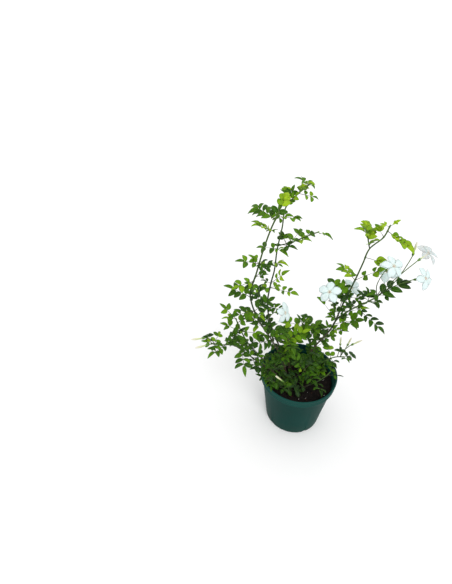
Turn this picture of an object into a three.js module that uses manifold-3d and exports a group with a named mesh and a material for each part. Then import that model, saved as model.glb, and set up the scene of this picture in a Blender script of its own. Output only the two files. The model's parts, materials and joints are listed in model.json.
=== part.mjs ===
// Spanish jasmine in a round nursery pot: pot, potting soil, leafy stems, open flowers and buds.
// Millimetres, +Z up. The origin is the middle of the pot's flat base.

import * as THREE from "three";
import { mergeVertices } from "three/addons/utils/BufferGeometryUtils.js";
import Module from "manifold-3d";

const wasm = await Module();
wasm.setup();

// Pot
const potHeight = 122;
const potBaseRadius = 52;
const potNeckRadius = 65; // the wall just under the collar
const potCollarRadius = 68.6; // the collar's lower edge
const potRimRadius = 70;
const potCollarHeight = 15;
const potCollarStep = 2; // height over which the wall widens into the collar
const potRimChamfer = 0.8;
const potWall = 1.6;
const potSegments = 32;
const footChamfer = 1.5;
const drainCount = 5;
const drainFirstAngle = -72; // degrees round the pot, 0 along +X
const drainRadius = 4.2;
const drainReach = 11; // how far each drain slot runs in from the foot's edge
const drainSides = 10;
const grooveLength = 17; // the shallow moulding mark above each drain slot
const grooveDepth = 0.7;
const grooveRadius = 3;
const grooveSides = 8;

// Soil
const soilLevel = 101;
const soilMound = 3; // how much higher the soil stands in the middle
const soilRelief = 1;
const soilWaves = { across: 0.31, shift: 1.3, along: 0.27, slanting: 0.17 }; // radians per millimetre
const soilRings = [1, 0.78, 0.54, 0.28, 0]; // shares of the top's radius
const soilFootRound = 2;
const soilSegments = 24;

// Clearances
const seatGap = 0.3; // between pieces that touch
const leafGap = 0.5; // between leaves of different stems
const rootOverlap = 2.5; // cubic millimetres that two leaves may share inside their stem
const holeSpread = 1.3; // times the seat gap, for the holes that stems stand in
const weldTolerance = 0.01; // for merging the flat faces that a join leaves split

// Stems
const stemSides = 5;
const ringSpacing = 14; // along a stem

// Leaves
const bladeThickness = 0.8;
const ribHalfWidth = 0.7; // half the width of the leaf stalk and midrib
const stalkShare = 0.17; // bare stalk as a share of the leaf's length
const smallLeafStalk = 2.2; // times as much bare stalk on a leaf of three leaflets
const endLeafletShare = 0.37; // end leaflet as a share of the leaf's length
const leafletLean = [50, 66]; // degrees between a side leaflet and the midrib
const leafletLength = [0.234, 0.286]; // as a share of the leaf's length
const leafletHalfWidth = 0.37; // as a share of the space between two pairs
const leafletRoot = 0.4; // width of a side leaflet's root as a share of its half width
const leafletBelly = [0.52, 0.48]; // where its two edges stand widest, from root to tip
const endLeafletHalfWidth = 0.085; // as a share of the leaf's length
const endLeafletRoot = 0.02; // how far the end leaflet's root reaches down the midrib
const endLeafletBelly = 0.15; // where it is widest, both as shares of the leaf's length
const foldSlope = 0.22; // side leaflets rise from the midrib
const foldSag = 0.012; // and their tips bend down again, per millimetre
const tipDroop = [0.08, 0.2]; // drop of the leaf's tip as a share of its length
const leafRoll = [-18, 18]; // degrees about the midrib
const towardsLight = new THREE.Vector3(0.05, -0.35, 0.93);

// Flowers and buds
const petalCount = 5;
const flowerRadius = 18;
const flowerCrown = 2.4; // height of the petals' arch
// one petal from its root round its tip, [outwards, sideways] as shares of the flower's radius
const petalShape = [[0.16, 0.16], [0.45, 0.31], [0.84, 0.29], [1, 0], [0.84, -0.29], [0.45, -0.31]];
const tubeLength = 15;
const tubeRadius = [0.86, 1.38]; // at its foot and at its throat
const bloomSides = 6;
const budLength = 19;
const budRadius = 1.7;
const budFootRadius = 0.85;
const budTaper = 0.55; // how much thinner the tip is than the foot
const budBow = 0.06; // sideways bend as a share of the length
const budSteps = 5;
const calyxHeight = 4;
const calyxRadius = 1.8;
const pedicelRadius = 0.65;
const pedicelBend = 0.35; // share of the pedicel that runs in line with the calyx
const pedicelShares = [0, 0.4, 0.75, 1];

// Turns that a leaf tries, in degrees [sideways, upwards], until it is clear of other stems
const leafTurns = [
  [0, 0], [14, 0], [-14, 0], [0, 14], [0, -14], [26, 8], [-26, 8], [26, -12], [-26, -12],
  [40, 0], [-40, 0], [0, 28], [0, -28], [55, 15], [-55, 15], [70, 0], [-70, 0],
];

// Leafy stems, each listed from the soil up. A branch has
//   path    points along its middle,
//   radius  at its foot and at its tip,
//   leaves  rows of [place along the branch from 0 to 1, compass angle, rise, length, leaflets],
//   pairs   rows of the same, each for two leaves that stand opposite each other,
//   flowers rows of [place along the branch, flower's centre, direction that it faces],
//   buds    rows of [place along the branch, bud's foot, direction that it points].
const stems = [
  {
    name: "right_stem",
    branches: [
      {
        path: [
          [8, 4, 84], [13, 7, 128], [20, 10, 168], [46, 14, 217], [59, 20, 271], [70, 24, 315],
          [77, 28, 345], [82, 30, 370], [99, 32, 389], [105, 34, 409],
        ],
        radius: [1.7, 0.95],
        leaves: [
          [0.82, -60, 20, 46, 5], [0.7, 120, 20, 44, 5], [0.7, -20, 45, 50, 5], [0.6, 125, 20, 48, 5],
          [0.57, 85, 35, 44, 5], [0.6, -40, 30, 34, 5], [0.47, 135, 35, 50, 3], [0.44, -25, 35, 52, 5],
          [0.94, 110, 25, 28, 3], [0.97, -60, -5, 54, 7], [0.99, 20, 30, 22, 3], [0.99, 150, 10, 15, 3],
          [0.4, -170, 20, 30, 3], [0.4, -35, 30, 34, 5], [0.33, 150, 10, 34, 5], [0.33, 20, 0, 34, 5],
          [0.25, 30, 15, 40, 5],
        ],
        pairs: [],
        flowers: [[0.46, [19, -20, 327], [-0.35, -0.5, 0.8]], [0.5, [76, 46, 281], [0.05, -0.6, 0.8]]],
        buds: [],
      },
      {
        path: [[82, 30, 370], [77, 34, 386], [73, 35, 398]],
        radius: [0.9, 0.8],
        leaves: [
          [0.85, -155, 35, 30, 3], [0.97, 80, 10, 32, 3], [0.45, 60, 25, 30, 3], [0.2, -70, 55, 28, 3],
        ],
        pairs: [],
        flowers: [],
        buds: [],
      },
      {
        path: [[46, 14, 217], [52, 8, 248], [67, 0, 275], [82, -6, 293], [95, -12, 311], [99, -13, 318]],
        radius: [1.3, 0.95],
        leaves: [
          [0.99, 15, 25, 54, 7], [0.8, 155, 40, 26, 3], [0.8, 85, 25, 28, 3], [0.8, 5, -5, 28, 3],
          [0.6, -50, -10, 60, 5], [0.6, 120, 10, 36, 5], [0.45, -30, 40, 38, 5], [0.45, 140, 15, 36, 5],
          [0.3, -60, 15, 40, 5], [0.3, 110, 20, 30, 3],
        ],
        pairs: [],
        flowers: [
          [0.93, [96, -30, 381], [0.25, -0.5, 0.8]], [0.9, [111, 14, 339], [-0.3, -0.35, 0.85]],
          [0.97, [149, -25, 356], [0.5, -0.62, 0.6]], [0.95, [144, -18, 394], [0.8, 0.4, 0.35]],
        ],
        buds: [[0.96, [134, 1, 381], [0.1, 0.2, 1]]],
      },
    ],
  },
  {
    name: "tall_left_stem",
    branches: [
      {
        path: [
          [-9, 4, 84], [-20, 8, 138], [-39, 18, 172], [-57, 30, 218], [-63, 40, 253], [-59, 50, 287],
          [-54, 58, 308], [-51, 68, 343], [-45, 78, 378], [-41, 86, 410], [-24, 92, 429], [-5, 96, 445],
        ],
        radius: [1.7, 0.9],
        leaves: [
          [0.53, -30, 10, 52, 5], [0.55, -30, 55, 46, 5], [0.53, -160, 10, 40, 5], [0.64, -45, 25, 28, 3],
          [0.64, 170, -10, 34, 5], [0.7, -60, 15, 28, 3], [0.7, 165, 0, 36, 5], [0.83, -55, 25, 40, 5],
          [0.83, 150, 10, 30, 3], [0.99, 30, -20, 16, 3], [0.95, 50, 20, 36, 5], [0.94, 10, -15, 40, 5],
          [0.9, 105, 30, 32, 5], [0.88, 55, 60, 34, 5],
        ],
        pairs: [[0.44, -40, 25, 42, 5], [0.32, -60, 20, 44, 5]],
        flowers: [],
        buds: [],
      },
      {
        path: [[-50, 70, 350], [-33, 65, 358], [-13, 56, 374], [5, 47, 389]],
        radius: [0.95, 0.8],
        leaves: [
          [0.1, -45, 15, 30, 3], [0.2, 110, 30, 28, 3], [0.45, -40, 30, 28, 3], [0.3, 50, 20, 40, 5],
          [0.55, 40, 5, 38, 5], [0.98, 5, -20, 32, 5],
        ],
        pairs: [],
        flowers: [],
        buds: [],
      },
    ],
  },
  {
    name: "second_left_stem",
    branches: [
      {
        path: [
          [-16, -4, 84], [-31, -2, 149], [-57, -10, 214], [-72, -18, 247], [-86, -24, 280],
          [-96, -30, 314], [-99, -32, 335], [-97, -34, 351], [-93, -36, 370], [-86, -38, 409],
          [-77, -38, 446], [-69, -38, 469],
        ],
        radius: [1.6, 0.9],
        leaves: [
          [0.97, 125, 5, 52, 5], [0.93, -135, 40, 42, 5], [0.99, 60, 40, 34, 5],
          [0.8, -170, 20, 34, 5], [0.8, -55, 30, 32, 5], [0.72, -150, 5, 36, 5], [0.74, 45, 10, 36, 5],
          [0.64, 160, 20, 44, 5], [0.64, -40, 55, 38, 5], [0.56, -150, 15, 44, 5], [0.56, 30, 20, 42, 5],
        ],
        pairs: [[0.46, -40, 20, 46, 5], [0.34, 30, 15, 44, 5]],
        flowers: [[0.42, [-42, -14, 280], [0.7, -0.5, 0.4]]],
        buds: [],
      },
    ],
  },
  {
    name: "mid_left_stem",
    branches: [
      {
        path: [
          [-26, -10, 84], [-44, -8, 140], [-72, -14, 174], [-94, -20, 211], [-110, -24, 250],
          [-119, -26, 280],
        ],
        radius: [1.4, 0.85],
        leaves: [[0.99, 160, 45, 36, 5], [0.95, 10, 30, 34, 5]],
        pairs: [[0.85, -20, 15, 38, 5], [0.68, 35, 15, 36, 5], [0.48, -55, 15, 38, 5]],
        flowers: [],
        buds: [],
      },
    ],
  },
  {
    name: "low_left_stem",
    branches: [
      {
        path: [
          [-30, -22, 84], [-46, -20, 138], [-79, -25, 176], [-103, -32, 209], [-124, -38, 233],
          [-142, -42, 237], [-158, -45, 244],
        ],
        radius: [1.4, 0.85],
        leaves: [
          [0.99, 110, -10, 36, 5], [0.97, 70, 10, 30, 5], [0.88, -130, 15, 44, 5], [0.86, 40, 45, 40, 5],
          [0.72, -85, -10, 46, 5], [0.72, 80, 20, 36, 5], [0.57, -85, 20, 40, 5], [0.57, 100, 15, 38, 5],
          [0.42, -70, 5, 38, 5], [0.42, 60, 15, 38, 5],
        ],
        pairs: [],
        flowers: [],
        buds: [
          [0.97, [-170, -46, 256], [-0.95, -0.1, -0.05]], [0.97, [-164, -53, 248], [-0.9, -0.2, -0.1]],
        ],
      },
    ],
  },
  {
    name: "low_right_stem",
    branches: [
      {
        path: [[22, -4, 84], [34, 4, 135], [63, 8, 151], [81, 8, 152]],
        radius: [1.3, 0.8],
        leaves: [
          [0.99, 25, -10, 32, 5], [0.98, -80, 30, 24, 3], [0.93, 80, 10, 26, 3], [0.76, -80, 10, 26, 3],
          [0.76, 95, 20, 32, 5], [0.57, -60, 40, 30, 3], [0.57, 120, 25, 40, 5], [0.42, -65, 30, 30, 5],
          [0.42, 150, 30, 38, 5],
        ],
        pairs: [],
        flowers: [],
        buds: [
          [0.92, [78, 3, 190], [0.15, -0.05, 1]], [0.92, [88, 6, 187], [0.75, 0, 0.55]],
          [0.87, [68, 11, 182], [-0.1, 0, 1]],
        ],
      },
    ],
  },
  {
    name: "back_stem",
    branches: [
      {
        path: [[-16, 18, 84], [-13, 22, 145], [-2, 34, 181], [3, 38, 210]],
        radius: [1.3, 0.85],
        leaves: [
          [0.99, 60, -10, 36, 5], [0.96, -25, 15, 44, 5], [0.94, 175, 15, 40, 5], [0.8, 15, 5, 46, 5],
          [0.8, 170, 5, 40, 5], [0.62, 60, 10, 40, 5],
        ],
        pairs: [],
        flowers: [],
        buds: [],
      },
    ],
  },
  {
    name: "centre_left_stem",
    branches: [
      {
        path: [[-6, 16, 84], [-14, 12, 130], [-24, 6, 170], [-30, 2, 205]],
        radius: [1.4, 0.9],
        leaves: [
          [0.99, 150, 30, 48, 5], [0.97, 10, 30, 46, 5], [0.96, -80, 25, 46, 5], [0.78, 60, 15, 46, 5],
          [0.76, -120, 10, 48, 5], [0.56, -30, 10, 46, 5], [0.56, 150, 10, 42, 5],
        ],
        pairs: [],
        flowers: [],
        buds: [],
      },
    ],
  },
  {
    name: "centre_stem",
    branches: [
      {
        path: [[0, -6, 84], [2, -10, 115], [6, -14, 145]],
        radius: [1.3, 0.85],
        leaves: [
          [0.99, 40, 35, 46, 5], [0.97, 170, 25, 44, 5], [0.94, -70, 15, 46, 5], [0.75, 0, 15, 42, 5],
          [0.72, -150, 10, 44, 5],
        ],
        pairs: [],
        flowers: [],
        buds: [],
      },
    ],
  },
  {
    name: "front_stem",
    branches: [
      {
        path: [[6, -24, 84], [10, -27, 112], [24, -26, 120], [42, -19, 127], [54, -12, 134]],
        radius: [1.2, 0.8],
        leaves: [
          [0.99, 65, 10, 28, 5], [0.9, 0, -5, 34, 3], [0.72, 80, 25, 34, 5], [0.6, -85, 25, 40, 5],
          [0.36, -165, 20, 38, 5],
        ],
        pairs: [],
        flowers: [],
        buds: [],
      },
    ],
  },
  {
    name: "front_left_stem",
    branches: [
      {
        path: [[-22, -32, 84], [-28, -36, 112], [-46, -36, 132], [-62, -34, 144]],
        radius: [1.2, 0.8],
        leaves: [
          [0.99, -160, 45, 30, 5], [0.96, -85, 15, 30, 5], [0.92, 70, 25, 36, 5], [0.7, -55, 20, 30, 5],
          [0.7, 100, 20, 34, 5], [0.42, 0, 10, 38, 5],
        ],
        pairs: [],
        flowers: [],
        buds: [[0.6, [-38, -44, 150], [-0.6, 0.1, 0.55]]],
      },
    ],
  },
];

const colours = {
  pot: { color: 0x1f4a3e, roughness: 0.5 },
  soil: { color: 0x2a1d17, roughness: 1 },
  leaf: { color: 0x3f7d1a, roughness: 0.55 },
  petal: { color: 0xe4f0f6, roughness: 0.6 },
  bud: { color: 0xcdd69a, roughness: 0.6 },
};

const group = new THREE.Group();

function addMesh(name, solid, finish) {
  const { vertProperties, triVerts } = solid.getMesh();
  const geometry = new THREE.BufferGeometry();
  geometry.setAttribute("position", new THREE.BufferAttribute(new Float32Array(vertProperties), 3));
  geometry.setIndex(new THREE.BufferAttribute(new Uint32Array(triVerts), 1));
  const mesh = new THREE.Mesh(geometry, new THREE.MeshStandardMaterial({ metalness: 0, ...finish }));
  mesh.name = name;
  group.add(mesh);
}

function solidFrom(points, triangles) {
  const vertProperties = new Float32Array(points.flatMap((point) => [point.x, point.y, point.z]));
  return new wasm.Manifold(
    new wasm.Mesh({ numProp: 3, vertProperties, triVerts: new Uint32Array(triangles) })
  );
}

function solidFromGeometry(geometry) {
  const bare = geometry.clone();
  bare.deleteAttribute("normal");
  bare.deleteAttribute("uv");
  const merged = mergeVertices(bare, 1e-4);
  const position = merged.attributes.position;
  const points = [];
  for (let i = 0; i < position.count; i += 1) {
    points.push(new THREE.Vector3().fromBufferAttribute(position, i));
  }
  const triangles = [];
  const index = merged.index.array;
  for (let i = 0; i < index.length; i += 3) {
    const [a, b, c] = [index[i], index[i + 1], index[i + 2]];
    if (a !== b && b !== c && c !== a) {
      triangles.push(a, b, c);
    }
  }
  return solidFrom(points, triangles);
}

const vector = (row) => new THREE.Vector3(...row);
const radians = (degrees) => THREE.MathUtils.degToRad(degrees);
const between = ([low, high], share) => low + (high - low) * share;

// The same number from 0 to 1 each time for the same seed
function chance(seed) {
  const value = Math.sin(seed * 12.9898) * 43758.5453;
  return value - Math.floor(value);
}

// A round stem, tube or bud along a curve, with a ring at each share of its length and flat ends
function sweep(curve, shares, sides, radiusAt) {
  const points = [];
  const triangles = [];
  let normal = new THREE.Vector3(0.3, 1, 0.2);
  for (const share of shares) {
    const tangent = curve.getTangentAt(share);
    normal = normal.clone().addScaledVector(tangent, -normal.dot(tangent)).normalize();
    const binormal = tangent.clone().cross(normal);
    const middle = curve.getPointAt(share);
    for (let side = 0; side < sides; side += 1) {
      const turn = (2 * Math.PI * side) / sides;
      const point = middle.clone().addScaledVector(normal, radiusAt(share) * Math.cos(turn));
      points.push(point.addScaledVector(binormal, radiusAt(share) * Math.sin(turn)));
    }
  }
  const last = (shares.length - 1) * sides;
  for (let ring = 0; ring < last; ring += sides) {
    for (let side = 0; side < sides; side += 1) {
      const low = ring + side;
      const next = ring + ((side + 1) % sides);
      triangles.push(low, next, next + sides, low, next + sides, low + sides);
    }
  }
  for (let side = 1; side < sides - 1; side += 1) {
    triangles.push(0, side + 1, side, last, last + side, last + side + 1);
  }
  return solidFrom(points, triangles);
}

const evenShares = (steps) => Array.from({ length: steps + 1 }, (_, i) => i / steps);

// A thin blade over a flat outline: both faces use the same triangles, a blade's thickness apart
function bladeFrom(outline, placeAt, normal) {
  const faces = THREE.ShapeUtils.triangulateShape(outline, []);
  const half = normal.clone().multiplyScalar(bladeThickness / 2);
  const middles = outline.map((point) => placeAt(point.x, point.y));
  const upper = middles.map((point) => point.clone().add(half));
  const lower = middles.map((point) => point.clone().sub(half));
  const count = outline.length;
  const triangles = [];
  for (const [a, b, c] of faces) {
    triangles.push(a, b, c, a + count, c + count, b + count);
  }
  for (let i = 0; i < count; i += 1) {
    const next = (i + 1) % count;
    triangles.push(i, i + count, next + count, i, next + count, next);
  }
  return solidFrom([...upper, ...lower], triangles);
}

// Outline of a pinnate leaf in the plane (along the midrib, across it), anticlockwise
function leafOutline(length, leaflets, seed) {
  const pairCount = (leaflets - 1) / 2;
  const firstPair = stalkShare * length * (leaflets === 3 ? smallLeafStalk : 1);
  const endStart = (1 - endLeafletShare) * length;
  const spacing = (endStart - firstPair) / pairCount;
  const half = Math.min(leafletHalfWidth * spacing, endLeafletHalfWidth * length);
  const sideOutline = (side) => {
    const row = [];
    const edge = side * ribHalfWidth;
    for (let pair = 0; pair < pairCount; pair += 1) {
      const draw = chance(seed + pair * 7 + side * 3);
      const lean = radians(between(leafletLean, draw));
      const reach = between(leafletLength, draw) * length;
      const root = new THREE.Vector2(firstPair + pair * spacing, edge);
      const along = new THREE.Vector2(Math.cos(lean), side * Math.sin(lean));
      const across = new THREE.Vector2(-Math.sin(lean), side * Math.cos(lean));
      const at = (share, shift) => {
        const point = root.clone().addScaledVector(along, share * reach);
        return point.addScaledVector(across, shift);
      };
      row.push(new THREE.Vector2(root.x - half * leafletRoot, edge));
      row.push(at(leafletBelly[0], half), at(1, 0), at(leafletBelly[1], -half));
    }
    row.push(new THREE.Vector2(endStart - endLeafletRoot * length, edge));
    row.push(new THREE.Vector2(endStart + endLeafletBelly * length, side * endLeafletHalfWidth * length));
    return row;
  };
  const foot = new THREE.Vector2(0, 0);
  const tip = new THREE.Vector2(length, 0);
  return [foot, ...sideOutline(-1), tip, ...sideOutline(1).reverse()];
}

// One pinnate leaf as a thin arched blade
function leafSolid(foot, compass, rise, length, leaflets, seed) {
  const flat = Math.cos(radians(rise));
  const along = new THREE.Vector3(
    flat * Math.cos(radians(compass)),
    flat * Math.sin(radians(compass)),
    Math.sin(radians(rise))
  );
  const normal = towardsLight.clone().addScaledVector(along, -towardsLight.dot(along)).normalize();
  normal.applyAxisAngle(along, radians(between(leafRoll, chance(seed + 0.37))));
  const across = normal.clone().cross(along);
  const droop = between(tipDroop, chance(seed + 0.61)) * length;
  const placeAt = (x, y) => {
    const lift = foldSlope * Math.abs(y) - foldSag * y * y - droop * (x / length) ** 2;
    const point = foot.clone().addScaledVector(along, x).addScaledVector(across, y);
    return point.addScaledVector(normal, lift);
  };
  return bladeFrom(leafOutline(length, leaflets, seed), placeAt, normal);
}

// A profile of [radius, height] rows turned round the vertical axis
function turned(profile, segments) {
  const line = profile.map(([radius, height]) => new THREE.Vector2(radius, height));
  return new THREE.LatheGeometry(line, segments).rotateX(Math.PI / 2);
}

const collarFoot = potHeight - potCollarHeight;
const wallTop = collarFoot - potCollarStep;
const wallLean = (potNeckRadius - potBaseRadius) / (wallTop - footChamfer);
const wallRadius = (height) => potBaseRadius + wallLean * (height - footChamfer);

// Pot with a collar, drain slots at its foot and a moulding mark above each of them
function potSolid() {
  const inside = potRimRadius - potWall;
  const profile = [
    [0, 0],
    [potBaseRadius - footChamfer, 0],
    [potBaseRadius, footChamfer],
    [potNeckRadius, wallTop],
    [potCollarRadius, collarFoot],
    [potRimRadius, potHeight - potRimChamfer],
    [potRimRadius - potRimChamfer, potHeight],
    [inside - potRimChamfer, potHeight],
    [potCollarRadius - potWall, collarFoot + potRimChamfer],
    [potNeckRadius - potWall, wallTop + potRimChamfer],
    [potBaseRadius - potWall, footChamfer + potWall],
    [potBaseRadius - potWall - potRimChamfer, potWall],
    [0, potWall],
  ];
  let pot = solidFromGeometry(turned(profile, potSegments));
  const grooveMiddle = drainRadius + grooveLength / 2;
  for (let i = 0; i < drainCount; i += 1) {
    const angle = radians(drainFirstAngle + (360 * i) / drainCount);
    const slot = new THREE.CylinderGeometry(drainRadius, drainRadius, drainReach * 2, drainSides)
      .rotateZ(Math.PI / 2)
      .translate(potBaseRadius, 0, 0)
      .rotateZ(angle);
    const groove = new THREE.CylinderGeometry(grooveRadius, grooveRadius, grooveLength, grooveSides)
      .rotateX(Math.PI / 2)
      .rotateY(Math.atan(wallLean))
      .translate(wallRadius(grooveMiddle) + grooveRadius - grooveDepth, 0, grooveMiddle)
      .rotateZ(angle);
    pot = pot.subtract(solidFromGeometry(slot)).subtract(solidFromGeometry(groove));
  }
  return pot;
}

// Height of the soil's top over any point, uneven by a formula
function soilTop(x, y) {
  const { across, shift, along, slanting } = soilWaves;
  const middle = 1 - Math.hypot(x, y) / potNeckRadius;
  const waves = Math.sin(across * x + shift) * Math.cos(along * y) + Math.sin(slanting * (x - 2 * y));
  return soilLevel + soilMound * middle + soilRelief * waves;
}

function soilSolid() {
  const flats = Math.cos(Math.PI / potSegments); // the pot's flats lie this much nearer its axis
  const radiusAt = (height) => flats * (wallRadius(height - potWall) - potWall) - seatGap;
  const floor = potWall + seatGap;
  const topRadius = radiusAt(soilLevel);
  const profile = [
    [0, floor],
    [radiusAt(floor) - soilFootRound, floor],
    [radiusAt(floor + soilFootRound), floor + soilFootRound],
  ];
  for (const share of soilRings) {
    profile.push([share * topRadius, soilLevel]);
  }
  const geometry = turned(profile, soilSegments);
  const position = geometry.attributes.position;
  for (let i = 0; i < position.count; i += 1) {
    if (position.getZ(i) > soilLevel / 2) {
      position.setZ(i, soilTop(position.getX(i), position.getY(i)));
    }
  }
  return solidFromGeometry(geometry);
}

function branchCurve(branch) {
  return new THREE.CatmullRomCurve3(branch.path.map(vector));
}

function branchSolid(branch, extra) {
  const curve = branchCurve(branch);
  const steps = Math.max(3, Math.round(curve.getLength() / ringSpacing));
  return sweep(curve, evenShares(steps), stemSides, (share) => between(branch.radius, share) + extra);
}

// The hole that a stem stands in: the stem made wider, and a little deeper at its foot
function soilHole(branch) {
  const start = vector(branch.path[0]);
  const next = vector(branch.path[1]);
  const deeper = start.clone().addScaledVector(start.clone().sub(next).normalize(), seatGap);
  return branchSolid({ ...branch, path: [deeper.toArray(), ...branch.path.slice(1)] }, seatGap * holeSpread);
}

// Stalk from the branch that widens into the calyx, on which a flower or a bud stands
function pedicelSolid(from, calyxTop, direction) {
  const calyxFoot = calyxTop.clone().addScaledVector(direction, -calyxHeight);
  const bend = calyxFoot.clone().addScaledVector(direction, -pedicelBend * from.distanceTo(calyxFoot));
  const middle = from.clone().lerp(bend, 0.55);
  const curve = new THREE.CatmullRomCurve3([from, middle, calyxFoot, calyxTop]);
  const calyxShare = calyxHeight / curve.getLength();
  const shares = [...pedicelShares.map((share) => share * (1 - calyxShare)), 1 - calyxShare / 2, 1];
  const widening = (share) => Math.max(0, (share - 1 + calyxShare) / calyxShare) ** 0.6;
  const radiusAt = (share) => between([pedicelRadius, calyxRadius], widening(share));
  return sweep(curve, shares, stemSides, radiusAt);
}

// An open flower: five petals cut from one arched blade, on a slim tube
function flowerSolid(centre, facing, seed) {
  const across = new THREE.Vector3(1, 0, 0).addScaledVector(facing, -facing.x).normalize();
  const upward = facing.clone().cross(across);
  const outline = [];
  const origin = new THREE.Vector2(0, 0);
  for (let petal = 0; petal < petalCount; petal += 1) {
    const turn = (2 * Math.PI * (petal + chance(seed))) / petalCount;
    for (const [outwards, sideways] of petalShape.slice().reverse()) {
      const point = new THREE.Vector2(outwards * flowerRadius, sideways * flowerRadius);
      outline.push(point.rotateAround(origin, turn));
    }
  }
  const arch = (reach) => flowerCrown * (1 - (2 * reach - 1) ** 2);
  const placeAt = (x, y) => {
    const point = centre.clone().addScaledVector(across, x).addScaledVector(upward, y);
    return point.addScaledVector(facing, arch(Math.hypot(x, y) / flowerRadius));
  };
  const petals = bladeFrom(outline, placeAt, facing);
  const tubeFoot = centre.clone().addScaledVector(facing, -tubeLength);
  const throat = centre.clone().addScaledVector(facing, arch(petalShape[0][0]));
  const tubeLine = new THREE.LineCurve3(tubeFoot, throat);
  const tube = sweep(tubeLine, evenShares(2), bloomSides, (share) => between(tubeRadius, share ** 3));
  return petals.add(tube);
}

// A closed, pointed bud
function budSolid(foot, direction) {
  const side = new THREE.Vector3(0, 0, 1).cross(direction).normalize();
  const middle = foot.clone().addScaledVector(direction, budLength / 2);
  const curve = new THREE.QuadraticBezierCurve3(
    foot,
    middle.addScaledVector(side, budLength * budBow),
    foot.clone().addScaledVector(direction, budLength)
  );
  const swelling = (share) => Math.sin(Math.PI * share ** 1.6);
  return sweep(curve, evenShares(budSteps), bloomSides, (share) =>
    between([budFootRadius, budRadius], swelling(share)) - budTaper * share ** 4
  );
}

// Everything that leaves have to stay clear of
const placed = [];
const pot = potSolid();
let soil = soilSolid();
placed.push({ owner: "pot", solid: pot });

const cores = new Map();
const blooms = [];
let seed = 1;
for (const stem of stems) {
  let core = null;
  stem.branches.forEach((branch, order) => {
    const solid = branchSolid(branch, 0);
    core = core ? core.add(solid) : solid;
    if (order === 0) {
      soil = soil.subtract(soilHole(branch));
    }
    const curve = branchCurve(branch);
    for (const [at, centre, facing] of branch.flowers) {
      seed += 1;
      const direction = vector(facing).normalize();
      const calyxTop = vector(centre).addScaledVector(direction, -tubeLength - seatGap);
      core = core.add(pedicelSolid(curve.getPointAt(at), calyxTop, direction));
      blooms.push({ kind: "flower", solid: flowerSolid(vector(centre), direction, seed) });
    }
    for (const [at, foot, pointing] of branch.buds) {
      const direction = vector(pointing).normalize();
      const calyxTop = vector(foot).addScaledVector(direction, -seatGap);
      core = core.add(pedicelSolid(curve.getPointAt(at), calyxTop, direction));
      blooms.push({ kind: "bud", solid: budSolid(vector(foot), direction) });
    }
  });
  cores.set(stem.name, core);
  placed.push({ owner: stem.name, solid: core, isCore: true });
}
placed.push({ owner: "soil", solid: soil });
for (const bloom of blooms) {
  placed.push({ owner: "bloom", solid: bloom.solid });
}

// A leaf is clear when it keeps its gap to every other node and crosses no leaf of its own stem
function isClear(owner, solid) {
  return placed.every((other) => {
    if (other.owner !== owner) {
      return solid.minGap(other.solid, leafGap) >= leafGap;
    }
    return other.isCore || solid.intersect(other.solid).volume() < rootOverlap;
  });
}

const leafy = new Map(cores);
seed = 100;
for (const stem of stems) {
  for (const branch of stem.branches) {
    const curve = branchCurve(branch);
    const opposite = branch.pairs.flatMap(([at, compass, ...rest]) => [
      [at, compass, ...rest],
      [at, compass + 180, ...rest],
    ]);
    for (const [at, compass, rise, length, leaflets] of [...branch.leaves, ...opposite]) {
      seed += 1;
      for (const [sideways, upwards] of leafTurns) {
        const foot = curve.getPointAt(at);
        const leaf = leafSolid(foot, compass + sideways, rise + upwards, length, leaflets, seed);
        if (isClear(stem.name, leaf)) {
          placed.push({ owner: stem.name, solid: leaf });
          leafy.set(stem.name, leafy.get(stem.name).add(leaf));
          break;
        }
      }
    }
  }
}

addMesh("pot", pot, colours.pot);
addMesh("soil", soil, colours.soil);
for (const [name, solid] of leafy) {
  addMesh(name, solid.asOriginal().simplify(weldTolerance), colours.leaf);
}
const counts = { flower: 0, bud: 0 };
for (const { kind, solid } of blooms) {
  counts[kind] += 1;
  addMesh(`${kind}_${counts[kind]}`, solid, kind === "flower" ? colours.petal : colours.bud);
}

export default group;
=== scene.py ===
import json
from math import atan, cos, floor, hypot, pi, radians, sin

import bmesh
import bpy
import numpy as np
from mathutils import Matrix, Vector, noise
from mathutils.kdtree import KDTree

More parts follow.
